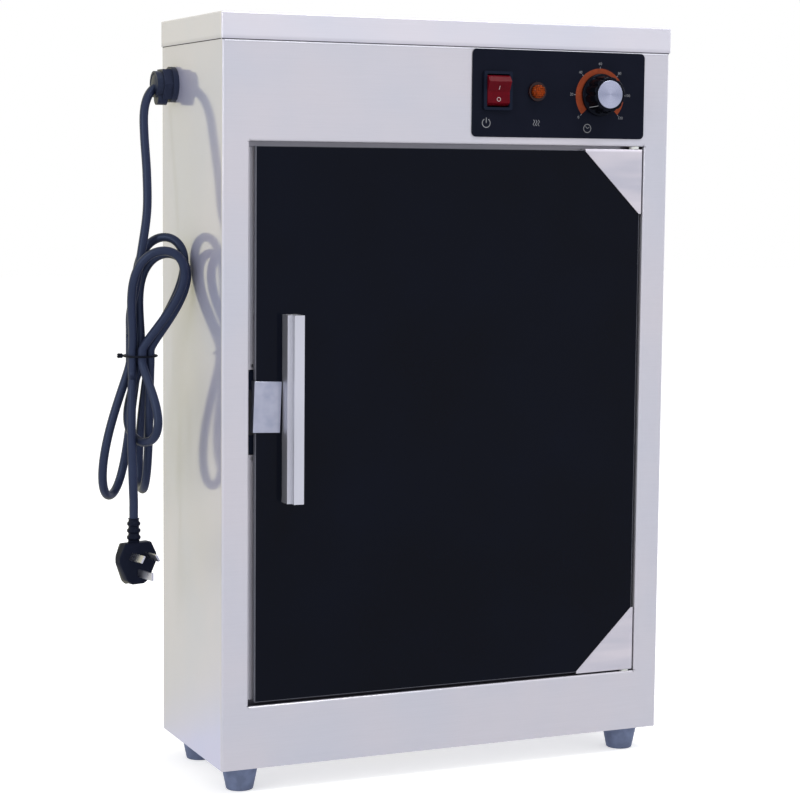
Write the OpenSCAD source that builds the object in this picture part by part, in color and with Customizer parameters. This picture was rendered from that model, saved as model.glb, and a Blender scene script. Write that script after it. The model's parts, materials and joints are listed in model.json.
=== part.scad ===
// Ultraviolet knife sterilizer: a folded sheet-steel cabinet with a frameless glass door.
// Inside are a germicidal lamp, a drying heater and two magnetic knife rails.
// Millimetres. X points right, Y points to the back, Z points up; the feet stand on Z = 0.
// Modules are drawn with Y = 0 on the front sheet and moved to the shared frame at the end.

/* [Cabinet] */
// Width of the body without the lid
body_w = 398; // [360:1:520]
// Depth of the body from front sheet to outside of back panel
body_d = 151; // [145:1:220]
// Height of the body with the lid, without the feet
body_h = 600; // [540:1:800]
// Thickness of the folded body sheet
sheet = 1; // [0.8:0.1:1.2]
// Outside radius of the two front corners
corner_r = 2; // [1.6:0.1:4]
// Width of the inward flanges at the back of both sides
rear_flange = 14; // [12:1:20]
// Clearance between sheets that lie on each other
seat = 0.05; // [0.02:0.01:0.1]
// Clearance of sheet trays inside the body
tray_fit = 0.1; // [0.05:0.01:0.2]

/* [Lid] */
// Height of the skirt of the lid
lid_skirt = 21; // [15:1:30]
// Thickness of the lid sheet
lid_sheet = 0.8; // [0.6:0.1:1]
// Space between the skirt and the body
lid_gap = 0.2; // [0.1:0.05:0.4]
// Radius of the edges of the lid
lid_r = 1.6; // [1.2:0.1:3]

/* [Feet] */
// Height of the feet
foot_h = 21; // [15:1:30]
// Diameter of a foot at the body
foot_top_d = 30.5; // [24:0.5:36]
// Diameter of a foot at the floor
foot_low_d = 22; // [18:1:30]
// Foot centre from the side of the body
foot_side = 23; // [18:1:40]
// Front foot centre from the front sheet
foot_front = 22; // [18:1:40]
// Rear foot centre from the back
foot_back = 28; // [20:1:50]
// Diameter of the foot screws
foot_screw_d = 5; // [4:0.5:6]
// Depth of the bore that takes the head of the foot screw
foot_bore = 13; // [10:1:14]

/* [Door opening] */
// Width of the sheet left and right of the opening
stile_w = 22.5; // [20:0.5:40]
// Height of the sheet under the opening
sill_h = 51; // [45:1:80]
// Outside radius of the fold round the opening
fold_r = 1.8; // [1.4:0.1:2.4]
// Depth of the folded edge
return_d = 10; // [9.5:0.1:12]
// Depth of the folded edge on the hinge side
hinge_return = 12; // [11:0.5:15]
// Width of the stop strip behind the glass
stop_w = 12; // [9:0.5:14]
// Slits at the corners of the folded edge
relief = 0.4; // [0.3:0.1:2]

/* [Door] */
// Thickness of the glass
glass_t = 5; // [4:0.1:5.5]
// Set-back of the glass behind the front sheet
glass_set = 2; // [1.6:0.1:2.4]
// Gap between glass and opening on the catch side
gap_left = 6.2; // [5:0.1:8]
// Gap between glass and opening on the hinge side
gap_right = 2.7; // [2.6:0.1:4]
// Gap between glass and opening at the top
gap_top = 3.7; // [2.6:0.1:5]
// Gap between glass and opening at the bottom
gap_low = 2.7; // [2.5:0.1:4]
// Leg of the corner shoes
shoe_leg = 54; // [40:1:70]
// Thickness of the shoe and clip sheet
shoe_sheet = 1; // [0.8:0.1:1]
// Space between shoe and glass
shoe_gap = 0.2; // [0.1:0.05:0.25]
// Pivot axis from the hinge side of the opening
pivot_in = 7.5; // [7.5:0.1:10]
// Diameter of the pivot pins
pivot_d = 4; // [3:0.1:4.5]
// Outside diameter of the bush sleeves
bush_d = 5.6; // [5.4:0.1:6.4]
// Diameter of the bush flanges
bush_flange_d = 8.4; // [8:0.2:9]
// Radial clearance of running fits
run_fit = 0.05; // [0.02:0.01:0.08]
// Axial clearance between shoe and bush
end_play = 0.3; // [0.2:0.05:0.5]

/* [Handle and catch] */
// Length of the handle bar
handle_h = 150; // [100:1:220]
// Width of the handle bar
handle_w = 12; // [10:0.5:16]
// Width of the step along the left of the bar
handle_step = 3.5; // [2:0.5:5]
// Front of the bar before the front sheet
handle_out = 16; // [14:0.5:18]
// Front of the step before the front sheet
handle_mid = 10; // [6:0.5:12]
// Handle from the edge of the glass
handle_in = 22.3; // [18:0.1:40]
// Middle of the handle above the middle of the opening
handle_up = 14; // [-40:1:40]
// Distance of the two handle screws
handle_pitch = 120; // [80:1:140]
// Thickness of the washers on the glass
washer_t = 1; // [0.8:0.1:1.5]
// Width of the steel clip on the glass
clip_w = 22.9; // [18:0.1:30]
// Height of the steel clip
clip_h = 41; // [30:1:60]
// Space between the clip and the edge of the glass
clip_gap = 0.9; // [0.8:0.1:1.2]
// Lean of the clip in degrees
clip_lean = 2; // [0:0.5:2]
// Middle of the clip above the middle of the opening
clip_up = 16; // [-40:1:40]
// Height of the magnetic catch
catch_h = 66; // [55:1:80]
// Width of the magnetic catch
catch_w = 16; // [14:0.5:20]
// Depth of the magnetic catch
catch_d = 13; // [10:0.5:16]
// Middle of the catch above the middle of the opening
catch_up = 11; // [-40:1:40]
// Air gap between magnet and clip
magnet_gap = 0.3; // [0.2:0.05:0.5]

/* [Control panel] */
// Width of the control plate
plate_w = 160; // [150:1:180]
// Height of the control plate
plate_h = 71; // [66:1:80]
// Thickness of the control plate
plate_t = 1; // [0.8:0.1:1.5]
// Corner radius of the control plate
plate_r = 4; // [2:0.5:8]
// Control plate from the right side of the body
plate_side = 24.3; // [20:0.1:40]
// Control plate below the lid skirt
plate_drop = 1.4; // [1:0.1:4]
// Strip between control plate and door opening
plate_foot = 6.1; // [5:0.1:10]
// Rocker switch from the left edge of the plate
switch_in = 22.5; // [20:0.1:26]
// Switch and lamp above the middle of the plate
switch_up = 2; // [-4:0.5:4]
// Width of the switch bezel
bezel_w = 25.8; // [25:0.1:28]
// Height of the switch bezel
bezel_h = 31.4; // [31:0.1:34]
// Thickness of the switch bezel
bezel_t = 2.2; // [1.6:0.1:2.4]
// Width of the rocker
rocker_w = 20; // [18:0.1:20.2]
// Height of the rocker
rocker_h = 24; // [23:0.1:24.4]
// Bevel at both ends of the rocker
rocker_bevel = 3.2; // [2:0.1:4]
// Swing of the rocker to each side in degrees
rocker_swing = 12; // [8:1:12]
// Indicator lamp from the left edge of the plate
lamp_in = 58.6; // [55:0.1:70]
// Diameter of the indicator bezel
lamp_bezel_d = 15.6; // [14:0.2:18]
// Diameter of the indicator body
lamp_body_d = 12; // [11.6:0.1:12.4]
// Dial centre from the left edge of the plate
dial_in = 117.6; // [110:0.1:124]
// Dial centre above the middle of the plate
dial_up = 0.6; // [-4:0.1:4]
// Diameter of the knob skirt
knob_d = 35; // [32:0.5:36]
// Height of the knob
knob_h = 17; // [15:0.5:20]
// Gap between knob and control plate
knob_gap = 0.8; // [0.5:0.1:1.2]
// Diameter of the aluminium cap on the knob
cap_d = 23; // [20:0.5:24]
// Diameter of the timer shaft
shaft_d = 6; // [5:0.1:6.4]
// Edge of the square timer housing
timer_w = 44; // [40:1:46]
// Depth of the timer housing
timer_depth = 36; // [30:1:45]

/* [Inside] */
// Height of the shelf under the controls above the door opening
shelf_up = 2.4; // [2.2:0.1:4]
// Height of the flanges of the shelf
shelf_flange = 12; // [8:1:13]
// Height of the flanges of the base pan
pan_flange = 16; // [10:1:18]
// Front edge of the shelf behind the front sheet
shelf_front = 13; // [12.5:0.5:18]
// Diameter of the germicidal tube
tube_d = 16; // [15:0.5:17]
// Length of the germicidal tube between its holders
tube_l = 288; // [250:1:300]
// Tube axis before the back panel
tube_back = 45; // [40:1:60]
// Tube axis below the shelf
tube_drop = 29; // [27:1:34]
// Diameter of the heater rod
heater_d = 8; // [6:0.5:9]
// Distance of the two heater legs
heater_pitch = 40; // [30:1:50]
// Heater axis above the floor of the body
heater_up = 24; // [18:1:30]
// Length of the straight heater legs
heater_l = 210; // [160:1:240]
// Distance of the two heater brackets
bracket_pitch = 160; // [120:1:180]
// Thermostat from the right side of the body
thermostat_side = 49; // [35:1:60]
// Diameter of the thermostat
thermostat_d = 18; // [14:1:22]
// Length of the ballast
ballast_l = 140; // [110:1:150]
// Width of the ballast
ballast_w = 40; // [30:1:44]
// Height of the ballast
ballast_h = 28; // [22:1:36]
// Ballast from the front sheet
ballast_front = 45; // [42:1:60]
// Diameter of the starter
starter_d = 21; // [18:1:24]
// Height of the starter
starter_h = 42; // [36:1:50]
// Length of the terminal block
block_l = 54; // [48:1:60]
// Height of the terminal block
block_h = 18; // [14:1:22]
// Terminal block from the left side of the body
block_side = 49; // [46:1:60]
// Length of a knife rail
rail_l = 300; // [240:1:320]
// Height of a knife rail
rail_h = 40; // [30:1:50]
// Thickness of a knife rail
rail_t = 12; // [10:0.5:14]
// Lower knife rail above the lower edge of the opening
rail_low = 160; // [120:1:180]
// Distance of the two knife rails
rail_pitch = 170; // [150:1:180]
// Diameter of sheet-metal screws
screw_d = 4; // [3:0.1:4.2]
// Height of screw heads
screw_head = 1.9; // [1.5:0.1:2.4]

/* [Supply cord] */
// Diameter of the cord
cord_d = 7.2; // [6.8:0.1:7.4]
// Cord gland before the back of the body
gland_back = 31; // [28:0.5:45]
// Cord gland below the top of the lid
gland_down = 53; // [45:1:60]
// Diameter of the gland flange
gland_d = 29; // [26:0.5:32]
// Diameter of the gland thread
gland_thread = 20; // [18:0.5:21]
// Width across flats of the gland hexagon
gland_hex = 24.5; // [22:0.5:25.5]
// Length of the gland outside the body
gland_l = 17.5; // [16:0.5:22]
// Space between cord strands in the tie
strand_gap = 1.4; // [1.2:0.1:1.6]
// Thickness of the wire tie
tie_d = 2; // [1.5:0.1:2.5]

/* [Hidden] */
$fn = 64;

// Cabinet heights and depths
half_w = body_w / 2;
low_z = foot_h;
top_z = foot_h + body_h;
lid_over = lid_sheet + lid_gap;
lid_low = top_z - lid_skirt;
wrap_top = top_z - lid_sheet - 3 * lid_gap;
back_in = body_d - sheet;
pan_top = low_z + sheet;
screw_r = screw_d / 2;
head_r = screw_d * 0.95;
hole_fit = 0.1;

// Control plate and door opening
plate_x1 = half_w - plate_side;
plate_x0 = plate_x1 - plate_w;
plate_z1 = lid_low - plate_drop;
plate_z0 = plate_z1 - plate_h;
plate_zm = (plate_z0 + plate_z1) / 2;
plate_front = -seat - plate_t;
open_hw = half_w - stile_w;
open_low = low_z + sill_h;
open_high = plate_z0 - plate_foot;
open_mid = (open_low + open_high) / 2;
stop_end = open_hw - 18;

// Glass door
glass_x0 = -open_hw + gap_left;
glass_x1 = open_hw - gap_right;
glass_z0 = open_low + gap_low;
glass_z1 = open_high - gap_top;
glass_back = glass_set + glass_t;
shoe_y0 = glass_set - shoe_gap - shoe_sheet;
shoe_y1 = glass_back + shoe_gap + shoe_sheet;
shoe_x1 = glass_x1 + shoe_gap + shoe_sheet;
shoe_z1 = glass_z1 + shoe_gap + shoe_sheet;
shoe_z0 = glass_z0 - shoe_gap - shoe_sheet;
pivot_x = open_hw - pivot_in;
pivot_y = glass_set + glass_t / 2;
pivot_r = pivot_d / 2;
// Depth of the stop strip at the pivots, clear of the corner that swings inwards
swing_gap = 0.45;
swing_stop = pivot_y + norm([shoe_x1 - pivot_x, shoe_y1 - pivot_y]) + swing_gap + sheet;
rivet_r = pivot_r * 0.6;
bush_r = bush_d / 2;
bush_tail = 3;
pin_reach = bush_tail - 0.5;

// Handle, clip and catch
handle_x0 = glass_x0 + handle_in;
handle_xm = handle_x0 + handle_w / 2;
handle_zm = open_mid + handle_up;
handle_back = glass_set - seat;
handle_screw_r = 2;
handle_head = 2.4;
washer_r = handle_w / 2;
clip_zm = open_mid + clip_up;
clip_x0 = glass_x0 - clip_gap - shoe_sheet;
catch_zm = open_mid + catch_up;
catch_x0 = -open_hw + tray_fit;
catch_x1 = catch_x0 + catch_w;
catch_y0 = shoe_y1 + magnet_gap;
catch_y1 = catch_y0 + catch_d;
catch_ear = 8;
catch_ear_t = 3;
catch_screw_r = 1.5;
catch_screw_x = catch_x0 + 6;
magnet_t = 3.5;
magnet_w = 11;
magnet_h = 36;

// Controls
switch_x = plate_x0 + switch_in;
switch_z = plate_zm + switch_up;
bezel_front = plate_front - seat - bezel_t;
switch_wall = 1;
cavity_hw = rocker_w / 2 + 0.2;
cavity_hh = rocker_h / 2 + 1.4;
switch_hw = cavity_hw + switch_wall;
switch_hh = cavity_hh + switch_wall;
switch_depth = 24;
trunnion_r = 1.5;
trunnion_l = 0.8;
rocker_out = 6;
rocker_dip = 2.2;
lamp_x = plate_x0 + lamp_in;
lamp_z = switch_z;
lamp_body_r = lamp_body_d / 2;
lamp_front = plate_front - seat - 2;
lens_r = lamp_body_r - 0.5;
dial_x = plate_x0 + dial_in;
dial_z = plate_zm + dial_up;
shaft_r = shaft_d / 2;
bushing_r = shaft_r + 1.8;
nut_t = 2.2;
nut_af = 2 * bushing_r + 3;
knob_base = plate_front - knob_gap;
knob_front = knob_base - knob_h;
knob_skirt = 3;
cap_t = 1.2;
cap_sink = 0.7;
cap_front = knob_front + cap_sink - cap_t;
shaft_front = knob_front + 4;
timer_back = sheet + seat + timer_depth;

// Inside
shelf_z = open_high + sheet + shelf_up;
shelf_top = shelf_z + sheet;
inner_hw = half_w - sheet - tray_fit;
tube_y = back_in - tube_back;
tube_z = shelf_z - tube_drop;
tube_r = tube_d / 2;
cap_l = 10;
holder_t = 10;
holder_w = 22;
batten_h = 13;
batten_hw = 20;
pin_r = 1.2;
pin_l = 7;
pin_pitch = 5;
heater_r = heater_d / 2;
heater_z = pan_top + heater_up;
heater_y = body_d / 2;
block_x0 = -half_w + block_side;
block_top = shelf_top + block_h;
rail_y0 = back_in - seat - rail_t;
rail_z = [open_low + rail_low, open_low + rail_low + rail_pitch];
rail_screw_x = rail_l / 2 - 30;
rail_channel = 1.5;
rail_magnet_t = 6;
plunger_r = 2;
plunger_x = -open_hw + 86;
plunger_z = open_high - 8.5;
plunger_tip = glass_back + magnet_gap;
plunger_end = 24;

// Overall depth, with the knob in front and the lid screws behind
rear_most = body_d + lid_over + screw_head;
front_y = -(cap_front + rear_most) / 2;

// Cord gland, and the cord route measured from the middle of the gland on the side sheet
gland_y = body_d - gland_back;
gland_z = top_z - gland_down;
gland_at = [-half_w, gland_y, gland_z];
gland_blind = 4;
gland_mouth = 9.4;
cord_r = cord_d / 2;
// The cord falls from the gland, is folded into six loops and hangs down to the plug.
waist = gland_at + [-38.5, -29, -220];
hank_u = [0.8, -0.6, 0];
hank_n = [0.6, 0.8, 0];
pitch = cord_d + strand_gap;
row = cord_d;
tie_half = 4;
lead = 8;
// Seven places of the strands inside the tie
m1 = [-pitch, 0];
m2 = [0, 0];
m3 = [pitch, 0];
f1 = [-pitch / 2, -row];
f2 = [pitch / 2, -row];
k1 = [-pitch / 2, row];
k2 = [pitch / 2, row];
// Each loop: place it starts, place it ends, up or down, reach, width, lean in u and n, turn
loops = [
    [m1, k1, -1, 113, 29, -24, 4, 88],
    [k1, k2, 1, 92, 27, 17.5, 6, 0],
    [k2, m3, -1, 109, 27, -14, 20, -60],
    [m3, m2, 1, 79, 26, 19, 5, 180],
    [m2, f2, -1, 65, 28, 5, -10, -30],
    [f2, f1, 1, 82, 27, 27, -8, 195]];
loop_rings = 24;
lean_early = 0.5;
width_power = 0.75;
soft_start = 0.05;
hank_top = waist + m1[0] * hank_u + m1[1] * hank_n + [0, 0, tie_half + lead];
hank_low = waist + f1[0] * hank_u + f1[1] * hank_n - [0, 0, tie_half + lead];
drop_route = [[-8, 0, 0], [-13, -0.3, -0.9], [-19.5, -1.5, -5], [-25, -4.5, -13],
    [-28.3, -8, -25], [-29.5, -13, -43], [-30.5, -22.5, -73], [-32, -27.5, -103],
    [-38, -33, -133], [-44, -35, -163], [-47, -30.5, -185], [-46, -26, -199]];
tail_route = [[-2, -5, -20], [-3.5, -9, -50], [-3, -10.5, -85], [-2.5, -11, -104]];
tail_drop = [-2.5, -11, -119];
plug_top = hank_low + tail_drop;
plug_turn = -75;
tie_turn = 163;

// One unit vector, and one step of a frame carried along a route without twist
function unit(v) = v / norm(v);
function along(p, i) = unit(p[min(i + 1, len(p) - 1)] - p[max(i - 1, 0)]);
function carried(v, t) = unit(v - (v * t) * t);
function start_of(t) = carried(abs(t[1]) < 0.9 ? [0, 1, 0] : [1, 0, 0], t);
function frames(p) = [for (i = 0, v = start_of(along(p, 0)); i < len(p);
    v = carried(v, along(p, min(i + 1, len(p) - 1))), i = i + 1) v];

// Points of rings round a route, and triangles between them
function ring_points(p, r, n) = let (f = frames(p)) [for (i = [0 : len(p) - 1], k = [0 : n - 1])
    let (t = along(p, i), a = f[i], b = cross(t, a), q = 360 * k / n)
    p[i] + r * (cos(q) * a + sin(q) * b)];
function ring_faces(m, n) = concat(
    [for (i = [0 : m - 2], k = [0 : n - 1]) [i * n + k, (i + 1) * n + k, i * n + (k + 1) % n]],
    [for (i = [0 : m - 2], k = [0 : n - 1])
        [i * n + (k + 1) % n, (i + 1) * n + k, (i + 1) * n + (k + 1) % n]],
    [for (k = [1 : n - 2]) [0, k, k + 1]],
    [for (k = [1 : n - 2]) [(m - 1) * n, (m - 1) * n + k + 1, (m - 1) * n + k]]);

// A smooth curve through the points of a route
function bend(a, b, c, d, t) = 0.5 * ((2 * b) + (c - a) * t
    + (2 * a - 5 * b + 4 * c - d) * t * t + (3 * b - a - 3 * c + d) * t * t * t);
function smooth(p, n) = concat([for (i = [0 : len(p) - 2], k = [0 : n - 1])
    bend(p[max(i - 1, 0)], p[i], p[i + 1], p[min(i + 2, len(p) - 1)], k / n)], [p[len(p) - 1]]);

// One point of a loop for t from 0 to 1
function loop_at(l, t) = let (rise = pow(sin(180 * t), 2), ease = t * t * (3 - 2 * t),
    soft = rise / (rise + soft_start), lean = soft * rise * (1 + lean_early * (1 - rise)),
    w = -l[4] * soft * sin(360 * t) * pow(rise, width_power), b = l[0] * (1 - ease) + l[1] * ease)
    waist + (b[0] + l[5] * lean + w * cos(l[7])) * hank_u
    + (b[1] + l[6] * lean + w * sin(l[7])) * hank_n + [0, 0, l[2] * (tie_half + l[3] * rise)];

// Routes of the three stretches
drop_path = concat([gland_at - [gland_blind, 0, 0]],
    smooth(concat([for (p = drop_route) gland_at + p], [hank_top + [0, 0, cord_d]]), 3),
    [hank_top]);
hank_path = concat([hank_top, hank_top - [0, 0, cord_d]],
    [for (l = loops, i = [0 : loop_rings]) loop_at(l, i / loop_rings)],
    [hank_low + [0, 0, cord_d], hank_low]);
tail_path = concat([hank_low],
    smooth(concat([hank_low - [0, 0, cord_d]], [for (p = tail_route) hank_low + p],
    [plug_top + [0, 0, cord_d]]), 4), [plug_top]);

// Length of a route, and the least space between strands that are far apart along the cord
function route_length(p) = [for (i = 0, s = 0; i < len(p);
    s = s + norm(p[min(i + 1, len(p) - 1)] - p[i]), i = i + 1) s];
function to_line(p, a, b) = let (d = b - a, t = max(0, min(1, (p - a) * d / (d * d))))
    norm(p - a - t * d);
cord_path = concat(drop_path, [for (i = [1 : len(hank_path) - 1]) hank_path[i]],
    [for (i = [1 : len(tail_path) - 1]) tail_path[i]]);
cord_run = route_length(cord_path);
cord_length = cord_run[len(cord_run) - 1];
apart = 5 * cord_d;
strand_spaces = [for (i = [0 : len(cord_path) - 1], j = [i + 3 : len(cord_path) - 2])
    if (cord_run[j] - cord_run[i] > apart) to_line(cord_path[i], cord_path[j], cord_path[j + 1])];
least_space = min(strand_spaces) - cord_d;
echo(cord_length = cord_length, least_space = least_space);

// Simple solids between named limits
module block(x0, x1, y0, y1, z0, z1) {
    translate([x0, y0, z0]) cube([x1 - x0, y1 - y0, z1 - z0]);
}
module rod_x(x0, x1, y, z, r) {
    translate([x0, y, z]) rotate([0, 90, 0]) cylinder(h = x1 - x0, r = r);
}
module rod_y(x, y0, y1, z, r) {
    translate([x, y0, z]) rotate([-90, 0, 0]) cylinder(h = y1 - y0, r = r);
}
module rod_z(x, y, z0, z1, r) {
    translate([x, y, z0]) cylinder(h = z1 - z0, r = r);
}
module round_rect(x0, x1, y0, y1, r) {
    translate([x0 + r, y0]) square([x1 - x0 - 2 * r, y1 - y0]);
    translate([x0, y0 + r]) square([x1 - x0, y1 - y0 - 2 * r]);
    for (x = [x0 + r, x1 - r], y = [y0 + r, y1 - r]) translate([x, y]) circle(r);
}
module hexagon(af) {
    intersection() {
        square([af, 2 * af], center = true);
        rotate(60) square([af, 2 * af], center = true);
        rotate(120) square([af, 2 * af], center = true);
    }
}
module tube(p, r, n) {
    polyhedron(points = ring_points(p, r, n), faces = ring_faces(len(p), n), convexity = 10);
}
module at_front() {
    translate([0, front_y, 0]) children();
}
// Pan-head screw along Y: the shank runs from the seat of the head to the tip
module screw_y(x, z, seat_y, tip_y, r, head_r, head_h) {
    dir = tip_y > seat_y ? 1 : -1;
    rod_y(x, min(seat_y, tip_y), max(seat_y, tip_y), z, r);
    rod_y(x, min(seat_y, seat_y - dir * head_h), max(seat_y, seat_y - dir * head_h), z, head_r);
}

// Places of repeated fasteners
back_screw_x = half_w - rear_flange / 2;
back_screw_z = [low_z + 40, (low_z + lid_low) / 2, lid_low - 40];
cover_screw_x = 120;
cover_screw_z = lid_low + lid_skirt / 2;
foot_x = half_w - foot_side;
foot_y = [foot_front, body_d - foot_back];

// Plan of the folded front and sides
module fold_plan(w, y0, y1, r) {
    translate([-w, y0 + r]) square([2 * w, y1 - y0 - r]);
    translate([-w + r, y0]) square([2 * w - 2 * r, y1 - y0]);
    for (s = [-1, 1]) translate([s * (w - r), y0 + r]) circle(r);
}
module shell_plan() {
    difference() {
        fold_plan(half_w, 0, back_in, corner_r);
        fold_plan(half_w - sheet, sheet, back_in - sheet, corner_r - sheet);
        translate([-half_w + rear_flange, back_in - 2 * sheet])
            square([2 * (half_w - rear_flange), 3 * sheet]);
    }
}
// Section of the folded edge: bend, return and stop strip
module edge_section(depth, stop) {
    intersection() {
        translate([fold_r, fold_r]) difference() {
            circle(fold_r);
            circle(fold_r - sheet);
        }
        square([fold_r, fold_r]);
    }
    translate([0, fold_r]) square([sheet, depth - fold_r]);
    if (stop > 0) translate([-stop, depth - sheet]) square([stop + sheet, sheet]);
}
module edge_up(x0, x1, depth) {
    translate([x1, 0, 0]) rotate([0, -90, 0]) linear_extrude(x1 - x0) edge_section(depth, stop_w);
}
module edge_side(depth, stop) {
    linear_extrude(open_high - open_low - 2 * relief) edge_section(depth, stop);
}

module wrapper() {
    x0 = -open_hw + relief;
    x1 = open_hw - relief;
    color([0.80, 0.80, 0.84]) at_front() difference() {
        union() {
            difference() {
                translate([0, 0, low_z]) linear_extrude(wrap_top - low_z) shell_plan();
                block(-open_hw - fold_r, open_hw + fold_r, -1, 2 * sheet, open_low, open_high);
                block(-open_hw, open_hw, -1, 2 * sheet, open_low - fold_r, open_high + fold_r);
            }
            translate([-open_hw, 0, open_low + relief]) mirror([1, 0, 0])
                edge_side(return_d, stop_w);
            translate([open_hw, 0, open_low + relief]) edge_side(hinge_return, 0);
            translate([0, 0, open_high]) {
                edge_up(x0, stop_end, return_d);
                edge_up(stop_end, x1, swing_stop);
            }
            translate([0, 0, open_low]) mirror([0, 0, 1]) {
                edge_up(x0, stop_end, return_d);
                edge_up(stop_end, x1, swing_stop);
            }
        }
        // Notch for the catch, and the holes of bushes, controls, gland and screws
        block(-open_hw, -open_hw + stop_w + 1, return_d - 2 * sheet, return_d + 1,
            catch_zm - catch_h / 2 - 1, catch_zm + catch_h / 2 + 1);
        for (s = [-1, 1]) {
            rod_y(catch_screw_x, return_d - 2 * sheet, return_d + 1,
                catch_zm + s * (catch_h / 2 + catch_ear / 2), catch_screw_r + hole_fit);
        }
        rod_z(pivot_x, pivot_y, open_high - 1, open_high + 2 * sheet, bush_r + run_fit);
        rod_z(pivot_x, pivot_y, open_low - 2 * sheet, open_low + 1, bush_r + run_fit);
        rod_y(plunger_x, return_d - 2 * sheet, return_d + 1, plunger_z, plunger_r + 0.5);
        block(switch_x - switch_hw - hole_fit, switch_x + switch_hw + hole_fit, -1, 2 * sheet,
            switch_z - switch_hh - hole_fit, switch_z + switch_hh + hole_fit);
        rod_y(lamp_x, -1, 2 * sheet, lamp_z, lamp_body_r + hole_fit);
        rod_y(dial_x, -1, 2 * sheet, dial_z, bushing_r + hole_fit);
        rod_x(-half_w - 1, -half_w + 2 * sheet, gland_y, gland_z, gland_thread / 2 + hole_fit);
        for (s = [-1, 1], z = back_screw_z) {
            rod_y(s * back_screw_x, back_in - 2 * sheet, back_in + 1, z, screw_r + hole_fit);
        }
    }
}

// Section of the lid with two rounded upper corners
module lid_section(x0, x1, z0, z1, r) {
    translate([x0, z0]) square([x1 - x0, z1 - z0 - r]);
    translate([x0 + r, z0]) square([x1 - x0 - 2 * r, z1 - z0]);
    for (x = [x0 + r, x1 - r]) translate([x, z1 - r]) circle(r);
}
module lid_solid(grow, z0, z1, r) {
    hw = half_w + lid_gap + grow;
    y0 = -lid_gap - grow;
    y1 = body_d + lid_gap + grow;
    intersection() {
        translate([0, 0, z0]) linear_extrude(z1 - z0) round_rect(-hw, hw, y0, y1, r);
        translate([0, y1, 0]) rotate([90, 0, 0]) linear_extrude(y1 - y0)
            lid_section(-hw, hw, z0, z1, r);
        translate([-hw, 0, 0]) rotate([90, 0, 90]) linear_extrude(2 * hw)
            lid_section(y0, y1, z0, z1, r);
    }
}
module top_cover() {
    color([0.82, 0.82, 0.85]) at_front() difference() {
        lid_solid(lid_sheet, lid_low, top_z, lid_r);
        lid_solid(0, lid_low - 1, top_z - lid_sheet, lid_r - lid_sheet);
        for (s = [-1, 1]) {
            rod_y(s * cover_screw_x, body_d, body_d + 2 * lid_over, cover_screw_z, screw_r + hole_fit);
        }
    }
}

module back_panel() {
    vent_w = 70;
    vent_h = 3;
    color([0.74, 0.74, 0.77]) at_front() difference() {
        block(-inner_hw - sheet, inner_hw + sheet, back_in + seat, body_d, low_z + 1, wrap_top - 1);
        for (s = [-1, 1], z = back_screw_z) {
            rod_y(s * back_screw_x, back_in - 1, body_d + 1, z, screw_r + hole_fit);
        }
        for (s = [-1, 1]) {
            rod_y(s * cover_screw_x, back_in - 1, body_d + 1, cover_screw_z, screw_r + hole_fit);
        }
        for (s = [-1, 1], z = rail_z) {
            rod_y(s * rail_screw_x, back_in - 1, body_d + 1, z, screw_r + hole_fit);
        }
        for (s = [-1, 1], k = [0 : 4]) {
            block(s * 90 - vent_w / 2, s * 90 + vent_w / 2, back_in - 1, body_d + 1,
                shelf_top + 22 + 2.5 * vent_h * k, shelf_top + 22 + 2.5 * vent_h * k + vent_h);
        }
    }
}

// Tray of sheet with four upright flanges
module tray(hw, y0, y1, z0, flange) {
    difference() {
        block(-hw, hw, y0, y1, z0, z0 + flange);
        block(-hw + sheet, hw - sheet, y0 + sheet, y1 - sheet, z0 + sheet, z0 + flange + 1);
        for (s = [-1, 1]) {
            block(s * hw - corner_r, s * hw + corner_r, y0 - 1, y0 + corner_r, z0 - 1, z0 + flange + 1);
        }
    }
}
module base_pan() {
    color([0.72, 0.72, 0.75]) at_front() difference() {
        tray(inner_hw, sheet + tray_fit, back_in - sheet - tray_fit, low_z, pan_flange);
        for (s = [-1, 1], y = foot_y) {
            rod_z(s * foot_x, y, low_z - 1, pan_top + 1, foot_screw_d / 2 + hole_fit);
        }
    }
}
module control_shelf() {
    color([0.72, 0.72, 0.75]) at_front() difference() {
        tray(inner_hw, shelf_front, back_in - sheet - tray_fit, shelf_z, shelf_flange);
        rod_z(-half_w + 40, 40, shelf_z - 1, shelf_top + 1, 7);
    }
}

module rubber_feet() {
    color([0.35, 0.39, 0.48]) at_front() for (s = [-1, 1], y = foot_y) {
        translate([s * foot_x, y, 0]) difference() {
            cylinder(h = foot_h - seat, r1 = foot_low_d / 2, r2 = foot_top_d / 2);
            translate([0, 0, -1]) cylinder(h = foot_bore + 1, r = foot_screw_d + hole_fit);
            cylinder(h = foot_h + 1, r = foot_screw_d / 2 + hole_fit);
        }
    }
}
module foot_screws() {
    head_z = foot_bore - seat;
    color([0.75, 0.75, 0.76]) at_front() for (s = [-1, 1], y = foot_y) {
        rod_z(s * foot_x, y, head_z, pan_top + 1.2 * foot_screw_d, foot_screw_d / 2);
        rod_z(s * foot_x, y, head_z - 0.6 * foot_screw_d, head_z, foot_screw_d * 0.9);
    }
}
module back_screws() {
    color([0.75, 0.75, 0.76]) at_front() for (s = [-1, 1], z = back_screw_z) {
        screw_y(s * back_screw_x, z, body_d + seat, back_in - 6, screw_r, head_r, screw_head - seat);
    }
}
module cover_screws() {
    seat_y = body_d + lid_over + seat;
    color([0.75, 0.75, 0.76]) at_front() for (s = [-1, 1]) {
        screw_y(s * cover_screw_x, cover_screw_z, seat_y, back_in - 6, screw_r, head_r,
            screw_head - seat);
    }
}

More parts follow.
